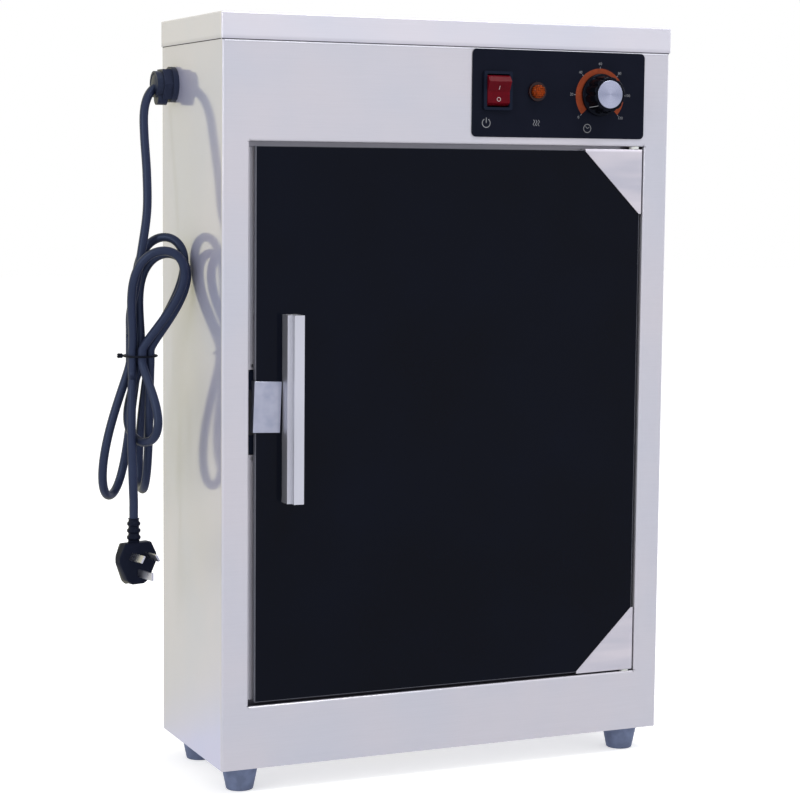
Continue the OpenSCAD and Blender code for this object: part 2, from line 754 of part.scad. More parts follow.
module control_plate() {
    color([0.10, 0.13, 0.30]) at_front() difference() {
        translate([0, -seat, 0]) rotate([90, 0, 0]) linear_extrude(plate_t)
            round_rect(plate_x0, plate_x1, plate_z0, plate_z1, plate_r);
        block(switch_x - switch_hw - hole_fit, switch_x + switch_hw + hole_fit,
            plate_front - 1, 1, switch_z - switch_hh - hole_fit, switch_z + switch_hh + hole_fit);
        rod_y(lamp_x, plate_front - 1, 1, lamp_z, lamp_body_r + hole_fit);
        rod_y(dial_x, plate_front - 1, 1, dial_z, bushing_r + hole_fit);
    }
}

module switch_housing() {
    color([0.07, 0.07, 0.08]) at_front() difference() {
        union() {
            translate([0, plate_front - seat, 0]) rotate([90, 0, 0]) linear_extrude(bezel_t)
                round_rect(switch_x - bezel_w / 2, switch_x + bezel_w / 2,
                    switch_z - bezel_h / 2, switch_z + bezel_h / 2, 1.5);
            block(switch_x - switch_hw, switch_x + switch_hw, plate_front - 1, switch_depth,
                switch_z - switch_hh, switch_z + switch_hh);
        }
        block(switch_x - cavity_hw, switch_x + cavity_hw, bezel_front - 1, switch_depth - 8,
            switch_z - cavity_hh, switch_z + cavity_hh);
        rod_x(switch_x - switch_hw - 1, switch_x + switch_hw + 1, 0, switch_z, trunnion_r + run_fit);
    }
}
module switch_rocker() {
    h = rocker_h / 2;
    b = rocker_bevel;
    color([0.80, 0.05, 0.06]) at_front() translate([switch_x, 0, switch_z])
        rotate([rocker_swing, 0, 0]) {
            translate([-rocker_w / 2, 0, 0]) rotate([90, 0, 90]) linear_extrude(rocker_w)
                polygon([[-rocker_out + b, h], [-rocker_out, h - b], [-rocker_out + rocker_dip, 0],
                    [-rocker_out, -h + b], [-rocker_out + b, -h], [0, -h - 0.6], [4, -h + 4],
                    [4, h - 4], [0, h + 0.6]]);
            rod_x(-rocker_w / 2 - trunnion_l, rocker_w / 2 + trunnion_l, 0, 0, trunnion_r);
        }
}

module indicator_body() {
    color([0.08, 0.08, 0.09]) at_front() difference() {
        union() {
            rod_y(lamp_x, lamp_front, plate_front - seat, lamp_z, lamp_bezel_d / 2);
            rod_y(lamp_x, lamp_front, 22, lamp_z, lamp_body_r);
        }
        rod_y(lamp_x, lamp_front - 1, 12, lamp_z, lens_r + run_fit);
    }
}
module indicator_lens() {
    color([0.75, 0.10, 0.08]) at_front() {
        rod_y(lamp_x, lamp_front - 2.4, 10, lamp_z, lens_r);
        translate([lamp_x, lamp_front - 2.4, lamp_z]) rotate([90, 0, 0])
            cylinder(h = 2, r1 = lens_r, r2 = lens_r - 1.8);
    }
}

module timer_body() {
    hw = timer_w / 2;
    color([0.86, 0.85, 0.80]) at_front() difference() {
        union() {
            block(dial_x - hw, dial_x + hw, sheet + seat, timer_back, dial_z - hw, dial_z + hw);
            rod_y(dial_x, plate_front - nut_t - 0.2, sheet + 1, dial_z, bushing_r);
        }
        rod_y(dial_x, knob_front, timer_back - 12, dial_z, shaft_r + run_fit);
    }
}
module timer_nut() {
    color([0.78, 0.78, 0.79]) at_front() translate([dial_x, plate_front - seat, dial_z])
        rotate([90, 0, 0]) linear_extrude(nut_t - 2 * seat) difference() {
            hexagon(nut_af);
            circle(bushing_r + run_fit);
        }
}
module timer_shaft() {
    color([0.78, 0.74, 0.60]) at_front()
        rod_y(dial_x, shaft_front, timer_back - 13, dial_z, shaft_r);
}
module timer_knob() {
    flutes = 12;
    grip_r = knob_d / 2 - 1.6;
    color([0.06, 0.06, 0.07]) at_front() difference() {
        union() {
            rod_y(dial_x, knob_base - knob_skirt, knob_base, dial_z, knob_d / 2);
            translate([dial_x, knob_base, dial_z]) rotate([90, 0, 0])
                cylinder(h = knob_h, r1 = grip_r, r2 = grip_r - 1.6);
        }
        for (k = [0 : flutes - 1]) {
            rod_y(dial_x + (grip_r + 0.6) * cos(360 * k / flutes), knob_front - 1,
                knob_base - knob_skirt, dial_z + (grip_r + 0.6) * sin(360 * k / flutes), 2);
        }
        rod_y(dial_x, knob_base - nut_t - 1, knob_base + 1, dial_z, nut_af * 0.62);
        rod_y(dial_x, shaft_front - 0.2, knob_base, dial_z, shaft_r + 0.02);
        rod_y(dial_x, knob_front - 1, knob_front + cap_sink, dial_z, cap_d / 2 + run_fit);
    }
}
module knob_cap() {
    color([0.82, 0.83, 0.84]) at_front()
        rod_y(dial_x, cap_front, cap_front + cap_t - 0.02, dial_z, cap_d / 2);
}

module door_glass() {
    color([0.08, 0.10, 0.13]) at_front() difference() {
        block(glass_x0, glass_x1, glass_set, glass_back, glass_z0, glass_z1);
        for (s = [-1, 1]) {
            rod_y(handle_xm, glass_set - 1, glass_back + 1, handle_zm + s * handle_pitch / 2,
                handle_screw_r + 1);
        }
    }
}
// Folded corner shoe: two triangles joined along the edges of the glass, up is +1 or -1
module shoe(edge_z, up) {
    far_x = shoe_x1 - shoe_leg;
    blunt = 2;
    difference() {
        translate([0, shoe_y1, 0]) rotate([90, 0, 0]) linear_extrude(shoe_y1 - shoe_y0)
            polygon([[far_x, edge_z], [shoe_x1, edge_z], [shoe_x1, edge_z - up * shoe_leg],
                [shoe_x1 - blunt, edge_z - up * shoe_leg], [far_x, edge_z - up * blunt]]);
        block(far_x - 1, glass_x1 + shoe_gap, glass_set - shoe_gap, glass_back + shoe_gap,
            min(edge_z - up * shoe_sheet, edge_z - up * 2 * shoe_leg),
            max(edge_z - up * shoe_sheet, edge_z - up * 2 * shoe_leg));
        rod_z(pivot_x, pivot_y, edge_z - 2 * shoe_sheet, edge_z + 2 * shoe_sheet,
            rivet_r + run_fit);
    }
}
module top_shoe() {
    color([0.80, 0.81, 0.83]) at_front() shoe(shoe_z1, 1);
}
module bottom_shoe() {
    color([0.80, 0.81, 0.83]) at_front() shoe(shoe_z0, -1);
}
module top_pivot_pin() {
    color([0.70, 0.70, 0.72]) at_front() {
        rod_z(pivot_x, pivot_y, shoe_z1 + seat, open_high + sheet + pin_reach, pivot_r);
        rod_z(pivot_x, pivot_y, shoe_z1 - shoe_sheet, shoe_z1 + seat, rivet_r);
    }
}
module bottom_pivot_pin() {
    color([0.70, 0.70, 0.72]) at_front() {
        rod_z(pivot_x, pivot_y, open_low - sheet - pin_reach, shoe_z0 - seat, pivot_r);
        rod_z(pivot_x, pivot_y, shoe_z0 - seat, shoe_z0 + shoe_sheet, rivet_r);
    }
}
module top_bush() {
    color([0.90, 0.90, 0.88]) at_front() difference() {
        union() {
            rod_z(pivot_x, pivot_y, shoe_z1 + end_play, open_high - seat, bush_flange_d / 2);
            rod_z(pivot_x, pivot_y, shoe_z1 + end_play, open_high + sheet + bush_tail, bush_r);
        }
        rod_z(pivot_x, pivot_y, shoe_z1, open_high + sheet + bush_tail + 1, pivot_r + run_fit);
    }
}
module bottom_bush() {
    color([0.90, 0.90, 0.88]) at_front() difference() {
        union() {
            rod_z(pivot_x, pivot_y, open_low + seat, shoe_z0 - end_play, bush_flange_d / 2);
            rod_z(pivot_x, pivot_y, open_low - sheet - bush_tail, shoe_z0 - end_play, bush_r);
        }
        rod_z(pivot_x, pivot_y, open_low - sheet - bush_tail - 1, shoe_z0, pivot_r + run_fit);
    }
}

module door_handle() {
    color([0.84, 0.84, 0.86]) at_front() difference() {
        translate([handle_x0, 0, handle_zm - handle_h / 2]) linear_extrude(handle_h)
            polygon([[0, handle_back], [0, -handle_mid], [handle_step, -handle_mid],
                [handle_step, -handle_out], [handle_w, -handle_out], [handle_w, handle_back]]);
        for (s = [-1, 1]) {
            rod_y(handle_xm, -handle_mid, handle_back + 1, handle_zm + s * handle_pitch / 2,
                handle_screw_r + run_fit);
        }
    }
}
module handle_screws() {
    seat_y = glass_back + washer_t + 2 * seat;
    color([0.75, 0.75, 0.76]) at_front() for (s = [-1, 1]) {
        screw_y(handle_xm, handle_zm + s * handle_pitch / 2, seat_y, -handle_mid + 1,
            handle_screw_r, 2 * handle_screw_r, handle_head);
    }
}
module handle_washers() {
    color([0.10, 0.10, 0.11]) at_front() for (s = [-1, 1]) {
        difference() {
            rod_y(handle_xm, glass_back + seat, glass_back + seat + washer_t,
                handle_zm + s * handle_pitch / 2, washer_r);
            rod_y(handle_xm, glass_back - 1, glass_back + washer_t + 1,
                handle_zm + s * handle_pitch / 2, handle_screw_r + hole_fit);
        }
    }
}

module catch_clip() {
    back_w = catch_x1 - clip_x0 - 1;
    color([0.80, 0.81, 0.83]) at_front() translate([clip_x0, 0, clip_zm])
        rotate([0, clip_lean, 0]) difference() {
            block(0, clip_w, shoe_y0, shoe_y1, -clip_h / 2, clip_h / 2);
            block(shoe_sheet, clip_w + 1, glass_set - shoe_gap, glass_back + shoe_gap, -clip_h, clip_h);
            block(back_w, clip_w + 1, glass_back, shoe_y1 + 1, -clip_h, clip_h);
        }
}
module catch_body() {
    ear_y0 = return_d + seat;
    h = catch_h / 2;
    color([0.07, 0.07, 0.08]) at_front() difference() {
        union() {
            block(catch_x0, catch_x1, catch_y0, catch_y1, catch_zm - h, catch_zm + h);
            block(catch_x0, catch_x0 + stop_w, ear_y0, ear_y0 + catch_ear_t,
                catch_zm - h - catch_ear, catch_zm + h + catch_ear);
        }
        block(catch_x0 + 2 - seat, catch_x0 + 2 + magnet_w + seat, catch_y0 - 1,
            catch_y0 + magnet_t + seat, catch_zm - magnet_h / 2 - seat, catch_zm + magnet_h / 2 + seat);
        for (s = [-1, 1]) {
            rod_y(catch_screw_x, ear_y0 - 1, catch_y1 + 1, catch_zm + s * (h + catch_ear / 2),
                catch_screw_r + hole_fit);
        }
    }
}
module catch_magnet() {
    color([0.35, 0.35, 0.37]) at_front() block(catch_x0 + 2, catch_x0 + 2 + magnet_w,
        catch_y0, catch_y0 + magnet_t, catch_zm - magnet_h / 2, catch_zm + magnet_h / 2);
}
module catch_screws() {
    seat_y = return_d + catch_ear_t + 2 * seat;
    color([0.75, 0.75, 0.76]) at_front() for (s = [-1, 1]) {
        screw_y(catch_screw_x, catch_zm + s * (catch_h / 2 + catch_ear / 2), seat_y,
            return_d - sheet, catch_screw_r, 2 * catch_screw_r, screw_head);
    }
}

module interlock_switch() {
    color([0.12, 0.12, 0.14]) at_front() difference() {
        block(plunger_x - 14, plunger_x + 14, return_d + seat, return_d + 22,
            plunger_z - 8, open_high + sheet);
        rod_y(plunger_x, return_d - 1, plunger_end + 4, plunger_z, plunger_r + run_fit);
    }
}
module interlock_plunger() {
    color([0.85, 0.30, 0.12]) at_front()
        rod_y(plunger_x, plunger_tip, plunger_end, plunger_z, plunger_r);
}

module uv_tube() {
    end_x = tube_l / 2 - 2;
    color([0.85, 0.88, 0.95]) at_front() difference() {
        rod_x(-end_x, end_x, tube_y, tube_z, tube_r);
        rod_x(-end_x + 3, end_x - 3, tube_y, tube_z, tube_r - 1);
    }
}
module uv_tube_caps() {
    cap_r = tube_r + 0.6;
    color([0.80, 0.80, 0.82]) at_front() for (s = [0, 1]) {
        translate([0, tube_y, tube_z]) mirror([s, 0, 0]) difference() {
            union() {
                rod_x(tube_l / 2 - cap_l, tube_l / 2, 0, 0, cap_r);
                for (k = [-1, 1]) {
                    rod_x(tube_l / 2 - 1, tube_l / 2 + pin_l, k * pin_pitch / 2, 0, pin_r);
                }
            }
            rod_x(tube_l / 2 - cap_l - 1, tube_l / 2 - 2 + seat, 0, 0, tube_r + run_fit);
        }
    }
}
module lamp_holders() {
    face_x = tube_l / 2 + seat;
    color([0.90, 0.90, 0.88]) at_front() for (s = [0, 1]) mirror([s, 0, 0]) difference() {
        block(face_x, face_x + holder_t, tube_y - holder_w / 2, tube_y + holder_w / 2,
            tube_z - holder_w / 2, shelf_z - batten_h - 2 * seat);
        for (k = [-1, 1]) {
            rod_x(face_x - 1, tube_l / 2 + pin_l + seat, tube_y + k * pin_pitch / 2, tube_z,
                pin_r + run_fit);
        }
    }
}
module lamp_batten() {
    x1 = tube_l / 2 + holder_t + 6;
    color([0.88, 0.88, 0.90]) at_front() difference() {
        block(-x1, x1, tube_y - batten_hw, tube_y + batten_hw, shelf_z - batten_h - seat, shelf_z - seat);
        block(-x1 - 1, x1 + 1, tube_y - batten_hw + sheet, tube_y + batten_hw - sheet,
            shelf_z - batten_h - seat + sheet, shelf_z + 1);
    }
}
module ballast() {
    foot_l = ballast_l / 2 + 14;
    y0 = ballast_front;
    y1 = ballast_front + ballast_w;
    color([0.30, 0.31, 0.33]) at_front() {
        block(-ballast_l / 2, ballast_l / 2, y0, y1, shelf_top + seat, shelf_top + ballast_h);
        block(-foot_l, foot_l, y0 + ballast_w / 4, y1 - ballast_w / 4, shelf_top + seat,
            shelf_top + 2 * sheet);
    }
}
module starter() {
    x = -starter_d;
    y = back_in - 1.7 * starter_d;
    base_h = starter_h / 5;
    color([0.90, 0.90, 0.88]) at_front() {
        rod_z(x, y, shelf_top + seat, shelf_top + base_h, starter_d * 0.66);
        rod_z(x, y, shelf_top + base_h, shelf_top + starter_h, starter_d / 2);
    }
}

module heater_rod() {
    color([0.45, 0.42, 0.40]) at_front() {
        for (s = [-1, 1]) {
            rod_x(-heater_l / 2, heater_l / 2, heater_y + s * heater_pitch / 2, heater_z, heater_r);
        }
        translate([-heater_l / 2, heater_y, heater_z]) rotate([0, 0, 90])
            rotate_extrude(angle = 180) translate([heater_pitch / 2, 0]) circle(heater_r);
    }
}
module heater_brackets() {
    half = heater_pitch / 2 + 2.5 * heater_r;
    plate = 2 * sheet;
    color([0.78, 0.78, 0.80]) at_front() for (x = [-bracket_pitch / 2, bracket_pitch / 2]) {
        difference() {
            union() {
                block(x, x + plate, heater_y - half, heater_y + half, pan_top + seat,
                    heater_z + 2 * heater_r);
                block(x, x + 7 * plate, heater_y - half, heater_y + half, pan_top + seat,
                    pan_top + plate);
            }
            for (s = [-1, 1]) {
                rod_x(x - 1, x + plate + 1, heater_y + s * heater_pitch / 2, heater_z,
                    heater_r + run_fit);
            }
        }
    }
}
module thermostat() {
    x = half_w - thermostat_side;
    cup_h = thermostat_d / 2;
    tab = thermostat_d / 6;
    color([0.16, 0.16, 0.18]) at_front() {
        rod_z(x, heater_y, pan_top + seat, pan_top + cup_h, thermostat_d / 2);
        for (s = [-1, 1]) {
            block(x + s * 1.7 * tab - tab, x + s * 1.7 * tab + tab, heater_y - sheet / 2,
                heater_y + sheet / 2, pan_top + cup_h - 1, pan_top + 2 * cup_h);
        }
    }
}
module terminal_block() {
    ways = 4;
    way = block_l / ways;
    color([0.90, 0.90, 0.88]) at_front() difference() {
        block(block_x0, block_x0 + block_l, gland_y - 0.6 * block_h, gland_y + 0.6 * block_h,
            shelf_top + seat, block_top);
        for (k = [0 : ways - 1]) {
            rod_z(block_x0 + way * (k + 0.5), gland_y, shelf_top + block_h / 2, block_top + 1, way / 4.5);
        }
    }
}
module inner_lead() {
    bend_r = 2.5 * cord_d;
    x0 = -half_w + gland_blind + 9;
    turn_x = block_x0;
    color([0.06, 0.06, 0.07]) at_front() {
        rod_x(x0, turn_x, gland_y, gland_z, cord_r);
        translate([turn_x, gland_y, gland_z - bend_r]) rotate([90, 0, 0])
            rotate_extrude(angle = 90) translate([bend_r, 0]) circle(cord_r);
        rod_z(turn_x + bend_r, gland_y, block_top + seat, gland_z - bend_r, cord_r);
    }
}

module knife_rails() {
    color([0.78, 0.79, 0.80]) at_front() for (z = rail_z) difference() {
        block(-rail_l / 2, rail_l / 2, rail_y0, back_in - seat, z - rail_h / 2, z + rail_h / 2);
        block(-rail_l / 2 + rail_channel - seat, rail_l / 2 - rail_channel + seat, rail_y0 - 1,
            rail_y0 + rail_magnet_t + seat, z - rail_h / 4 - seat, z + rail_h / 4 + seat);
        for (s = [-1, 1]) {
            rod_y(s * rail_screw_x, rail_y0 + rail_magnet_t + 1.5, back_in + 1, z, screw_r + run_fit);
        }
    }
}
module rail_magnets() {
    color([0.16, 0.16, 0.17]) at_front() for (z = rail_z) {
        block(-rail_l / 2 + rail_channel, rail_l / 2 - rail_channel, rail_y0,
            rail_y0 + rail_magnet_t, z - rail_h / 4, z + rail_h / 4);
    }
}
module rail_screws() {
    color([0.75, 0.75, 0.76]) at_front() for (z = rail_z, s = [-1, 1]) {
        screw_y(s * rail_screw_x, z, body_d + seat, rail_y0 + rail_magnet_t + 2, screw_r, head_r,
            screw_head - seat);
    }
}

module gland_body() {
    x0 = -half_w - seat;
    end_x = -half_w - gland_l;
    inner_x = -half_w + 13;
    color([0.07, 0.07, 0.08]) at_front() difference() {
        union() {
            rod_x(x0 - 4.5, x0, gland_y, gland_z, gland_d / 2);
            translate([x0 - 12, gland_y, gland_z]) rotate([0, 90, 0]) linear_extrude(8)
                hexagon(gland_hex);
            rod_x(end_x, x0 - 4, gland_y, gland_z, gland_hex / 2 - 1.5);
            rod_x(end_x + 2, x0 - 7, gland_y, gland_z - gland_hex / 2 + 1.5, 6);
            rod_x(x0 - 1, inner_x, gland_y, gland_z, gland_thread / 2);
        }
        translate([end_x - 1, gland_y, gland_z]) rotate([0, 90, 0])
            cylinder(h = gland_l - gland_blind + 1, r1 = gland_mouth, r2 = cord_r + run_fit);
        rod_x(-half_w - gland_blind + 2, inner_x + 1, gland_y, gland_z, cord_r + hole_fit);
    }
}
module gland_locknut() {
    color([0.09, 0.09, 0.10]) at_front() translate([-half_w + sheet + seat, gland_y, gland_z])
        rotate([0, 90, 0]) linear_extrude(6) difference() {
            hexagon(gland_thread + 7);
            circle(gland_thread / 2 + run_fit);
        }
}

module cord_drop() {
    color([0.05, 0.05, 0.07]) at_front() tube(drop_path, cord_r, 10);
}
module cord_hank() {
    color([0.05, 0.05, 0.07]) at_front() tube(hank_path, cord_r, 6);
}
module cord_tail() {
    color([0.05, 0.05, 0.07]) at_front() tube(tail_path, cord_r, 10);
}
module cord_tie() {
    tie_r = tie_d / 2;
    ring_r = pitch + cord_r + tie_r + 0.2;
    color([0.04, 0.04, 0.05]) at_front() translate(waist) {
        rotate_extrude() translate([ring_r, 0]) circle(tie_r);
        rotate([0, 0, tie_turn]) {
            rod_x(ring_r, ring_r + 7, 0, 0, tie_r);
            translate([ring_r + 1, 0, 0]) rotate([0, 0, 50]) rod_x(0, 5, 0, 0, tie_r * 0.9);
        }
    }
}

// Flat-pin plug seen from its pins: wide near the cord, narrow at the earth pin
module plug_outline(k) {
    polygon([[-12.2 * k, 0], [12.2 * k, 0], [17.5 * k, -10.5], [17.5 * k, -16], [10 * k, -31],
        [5.8 * k, -34], [-5.8 * k, -34], [-10 * k, -31], [-17.5 * k, -16], [-17.5 * k, -10.5]]);
}
plug_face = 7.4;
plug_rear = -8.5;
rear_share = 0.74;
rear_drop = 1.5;
relief_l = 19;
rib_pitch = 5.6;
// Pins: line and neutral lean to each other over the upright earth pin
blade_w = 6.3;
blade_t = 1.6;
blade_root = -3;
line_l = 18;
earth_l = 21;
line_side = 6.86;
line_z = -10.8;
earth_z = -25.1;
line_lean = 30;
module at_plug() {
    translate(plug_top) rotate([0, 0, plug_turn]) children();
}
// The three pins, or with a fit the slots that hold them
module blades(fit) {
    hw = blade_w / 2 + fit;
    ht = blade_t / 2 + fit;
    for (s = [-1, 1]) translate([0, s * line_side, line_z]) rotate([s * line_lean, 0, 0])
        block(blade_root - fit, plug_face + line_l, -ht, ht, -hw, hw);
    translate([0, 0, earth_z]) block(blade_root - fit, plug_face + earth_l, -ht, ht, -hw, hw);
}
module plug_body() {
    color([0.06, 0.06, 0.08]) at_front() at_plug() {
        // Ribbed strain relief on top
        rod_z(0, 0, -relief_l - 1, -seat, cord_r + 0.4);
        for (k = [0 : 2]) rod_z(0, 0, -6 - rib_pitch * k, -2.6 - rib_pitch * k, cord_r + 1.6);
        translate([0, 0, -relief_l]) difference() {
            hull() {
                rotate([90, 0, 90]) linear_extrude(plug_face) plug_outline(1);
                translate([plug_rear, 0, -rear_drop]) rotate([90, 0, 90]) linear_extrude(2)
                    plug_outline(rear_share);
            }
            blades(seat);
        }
    }
}
module plug_pins() {
    color([0.80, 0.66, 0.36]) at_front() at_plug() translate([0, 0, -relief_l]) blades(0);
}

wrapper();
top_cover();
back_panel();
base_pan();
control_shelf();
rubber_feet();
foot_screws();
back_screws();
cover_screws();
control_plate();
switch_housing();
switch_rocker();
indicator_body();
indicator_lens();
timer_body();
timer_nut();
timer_shaft();
timer_knob();
knob_cap();
door_glass();
top_shoe();
bottom_shoe();
top_pivot_pin();
bottom_pivot_pin();
top_bush();
bottom_bush();
door_handle();
handle_screws();
handle_washers();
catch_clip();
catch_body();
catch_magnet();
catch_screws();
interlock_switch();
interlock_plunger();
uv_tube();
uv_tube_caps();
lamp_holders();
lamp_batten();
ballast();
starter();
heater_rod();
heater_brackets();
thermostat();
terminal_block();
inner_lead();
knife_rails();
rail_magnets();
rail_screws();
gland_body();
gland_locknut();
cord_drop();
cord_hank();
cord_tail();
cord_tie();
plug_body();
plug_pins();
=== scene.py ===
"""Looks of a knife sterilizer cabinet: the finish of its steel, glass and plastics, its printed
dial, its tied supply cord and a plain white studio."""

import json
import math

import bpy
import numpy as np
from bpy.props import FloatProperty, FloatVectorProperty, IntProperty, PointerProperty
from mathutils import Matrix, Vector


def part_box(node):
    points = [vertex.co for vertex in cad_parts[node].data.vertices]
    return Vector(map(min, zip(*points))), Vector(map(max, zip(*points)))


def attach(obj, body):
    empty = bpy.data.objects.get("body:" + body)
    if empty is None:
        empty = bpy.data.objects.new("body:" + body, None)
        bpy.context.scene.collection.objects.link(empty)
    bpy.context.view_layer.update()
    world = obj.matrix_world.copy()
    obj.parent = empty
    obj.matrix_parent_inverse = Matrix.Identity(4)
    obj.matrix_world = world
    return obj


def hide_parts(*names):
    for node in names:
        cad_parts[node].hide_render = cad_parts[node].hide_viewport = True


bl_info = {
    "name": "Knife Sterilizer Cabinet",
    "version": (1, 0, 0),
    "blender": (4, 5, 0),
    "location": "View3D > Sidebar > Cabinet",
    "description": "Dresses the cabinet with finishes, dial print, supply cord and studio",
    "category": "Object",
}

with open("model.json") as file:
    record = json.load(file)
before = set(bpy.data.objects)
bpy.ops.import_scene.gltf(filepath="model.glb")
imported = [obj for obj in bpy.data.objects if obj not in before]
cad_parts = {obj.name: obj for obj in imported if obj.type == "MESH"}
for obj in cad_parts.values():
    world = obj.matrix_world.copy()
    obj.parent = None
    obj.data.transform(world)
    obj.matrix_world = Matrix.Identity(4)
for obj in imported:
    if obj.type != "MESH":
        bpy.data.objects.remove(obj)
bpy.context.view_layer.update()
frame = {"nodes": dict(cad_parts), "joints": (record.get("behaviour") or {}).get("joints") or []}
MM = 0.001
TAU = 2 * math.pi


def middle(node):
    """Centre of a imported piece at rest."""
    low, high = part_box(node)
    return np.array((low + high) / 2)


def front_of(node):
    """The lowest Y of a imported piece, where its front face lies."""
    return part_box(node)[0].y


def joint_range(name):
    """Range of a hinge in radians."""
    found = [j for j in frame["joints"] if j["name"] == name]
    return [math.radians(a) for a in found[0]["range_deg"]]


# Sizes and colours that a user may change

def tone(label, default, words):
    """A colour setting."""
    return FloatVectorProperty(name=label, description=words, default=default, subtype="COLOR",
                               min=0.0, max=1.0)


class FinishColours(bpy.types.PropertyGroup):
    """Base colours of the finishes that show most."""

    steel: tone("Steel", (0.530, 0.530, 0.570), "Polished sheet steel of body and lid")
    glass: tone("Glass", (0.0008, 0.0018, 0.0062), "Dark glass of the door")
    panel: tone("Panel", (0.0050, 0.0055, 0.0110), "Black film of the control plate")
    plastic: tone("Plastic", (0.006, 0.008, 0.017), "Moulded black plastic")
    rocker: tone("Rocker", (0.105, 0.003, 0.008), "Red rocker of the switch")
    amber: tone("Lens", (0.310, 0.045, 0.005), "Amber lens of the pilot lamp")
    aluminium: tone("Aluminium", (0.595, 0.600, 0.630), "Handle bar and knob cap")
    rubber: tone("Rubber", (0.160, 0.195, 0.310), "Grey rubber of the feet")
    cord: tone("Cord", (0.018, 0.024, 0.052), "Sheath of the supply cord")
    band: tone("Band", (0.230, 0.043, 0.016), "Orange band of the dial")
    ink: tone("Ink", (0.215, 0.220, 0.240), "Pale print on the control plate")


class DialPrint(bpy.types.PropertyGroup):
    """Sizes of the print round the timer knob."""

    band_inner: FloatProperty(name="Band inside", description="Inner radius of the orange band",
                              default=16.7 * MM, unit="LENGTH")
    band_outer: FloatProperty(name="Band outside", description="Outer radius of the orange band",
                              default=22.7 * MM, unit="LENGTH")
    tick_end: FloatProperty(name="Tick end", description="Outer radius of the tick marks",
                            default=24.2 * MM, unit="LENGTH")
    number_radius: FloatProperty(name="Number radius", description="Radius on which the numbers stand",
                                 default=26.6 * MM, unit="LENGTH")
    number_height: FloatProperty(name="Number height", description="Height of the numbers",
                                 default=3.2 * MM, unit="LENGTH")
    drop: FloatProperty(name="Drop", description="Middle of the print below the axis of the knob",
                        default=1.0 * MM, unit="LENGTH")
    step: IntProperty(name="Step", description="Minutes from one number to the next", default=20)
    numbers: IntProperty(name="Numbers", description="How many numbers the scale has", default=7)


class SupplyCord(bpy.types.PropertyGroup):
    """Sizes of the cord and of its tie."""

    diameter: FloatProperty(name="Diameter", description="Diameter of the cord", default=7.2 * MM,
                            unit="LENGTH")
    length: FloatProperty(name="Length", description="Length from the gland to the plug",
                          default=1.685, unit="LENGTH")
    wire: FloatProperty(name="Tie wire", description="Diameter of the wire tie", default=2.0 * MM,
                        unit="LENGTH")


class StudioSetup(bpy.types.PropertyGroup):
    """Camera, lamps and floor."""

    lens: FloatProperty(name="Lens", description="Focal length", default=98.953, unit="CAMERA")
    floor: FloatProperty(name="Floor", description="Edge of the square floor", default=16.0,
                         unit="LENGTH")
    sky: FloatProperty(name="Sky", description="Light of the white surroundings", default=0.72)
    key: FloatProperty(name="Key lamp", description="Power of the lamp above the front",
                       default=24.0, unit="POWER")
    rim: FloatProperty(name="Rim lamp", description="Power of the upright lamp at the right",
                       default=8.0, unit="POWER")
    fill: FloatProperty(name="Fill lamp", description="Power of the upright lamp at the left",
                        default=14.0, unit="POWER")


# Surfaces as arrays: a part is an array of points and a list of faces

def lofted(grid, around=True, caps=True):
    """A surface over a grid of points: rows run along the piece and columns run round it.
    Square faces join neighbours, and the first and last row are closed with one face each."""
    rows, columns = grid.shape[:2]
    index = np.arange(rows * columns).reshape(rows, columns)
    beside = np.roll(index, -1, axis=1)
    if not around:
        index, beside = index[:, :-1], index[:, 1:]
    squares = np.stack([index[:-1], beside[:-1], beside[1:], index[1:]], axis=-1).reshape(-1, 4)
    points = grid.reshape(-1, 3)
    a, b, c, d = (points[squares[:, k]] - points.mean(axis=0) for k in range(4))
    volume = (a * (np.cross(b, c) + np.cross(c, d))).sum()
    faces = squares.tolist()
    if caps:
        faces += [index[0, ::-1].tolist(), index[-1].tolist()]
    if volume < 0:
        faces = [face[::-1] for face in faces]
    return points, faces


def joined(parts):
    """One part from several, with the faces of each counted on from the points before it."""
    starts = np.cumsum([0] + [len(points) for points, _ in parts])
    faces = [[i + start for i in face] for (_, part), start in zip(parts, starts) for face in part]
    return np.vstack([points for points, _ in parts]), faces


def revolved(profile, centre, axis, steps=96):
    """Profile rows of (radius, height) turned about an axis: centre + axis * height
    + radius * (side * cos a + other * sin a)."""
    axis = np.asarray(axis, float)
    side = np.cross(axis, (0.0, 0.0, 1.0) if abs(axis[2]) < 0.9 else (1.0, 0.0, 0.0))
    side = side / np.linalg.norm(side)
    other = np.cross(axis, side)
    angle = np.linspace(0, TAU, steps, endpoint=False)
    turned = np.cos(angle)[:, None] * side + np.sin(angle)[:, None] * other
    profile = np.asarray(profile, float)
    along = np.asarray(centre) + profile[:, 1, None] * axis
    return lofted(along[:, None] + profile[:, 0, None, None] * turned[None])


def swept(path, radius, sides=12):
    """A round tube along a path: each ring is path + radius * (normal * cos a + binormal * sin a),
    with the normal square to the path and to a fixed reference."""
    ahead = np.gradient(path, axis=0)
    ahead = ahead / np.linalg.norm(ahead, axis=1, keepdims=True)
    reference = np.array((0.05, 0.03, 1.0))
    normal = np.cross(ahead, reference)
    normal = normal / np.linalg.norm(normal, axis=1, keepdims=True)
    binormal = np.cross(ahead, normal)
    angle = np.linspace(0, TAU, sides, endpoint=False)[None, :, None]
    ring = normal[:, None] * np.cos(angle) + binormal[:, None] * np.sin(angle)
    return lofted(path[:, None] + radius * ring)


def slab(outline, front, depth):
    """A flat shape with thickness: the outline of (x, z) points at front and at front + depth."""
    outline = np.asarray(outline, float)
    at = np.array((front, front + depth))
    grid = np.empty((2, len(outline), 3))
    grid[:, :, 0] = outline[None, :, 0]
    grid[:, :, 1] = at[:, None]
    grid[:, :, 2] = outline[None, :, 1]
    return lofted(grid)


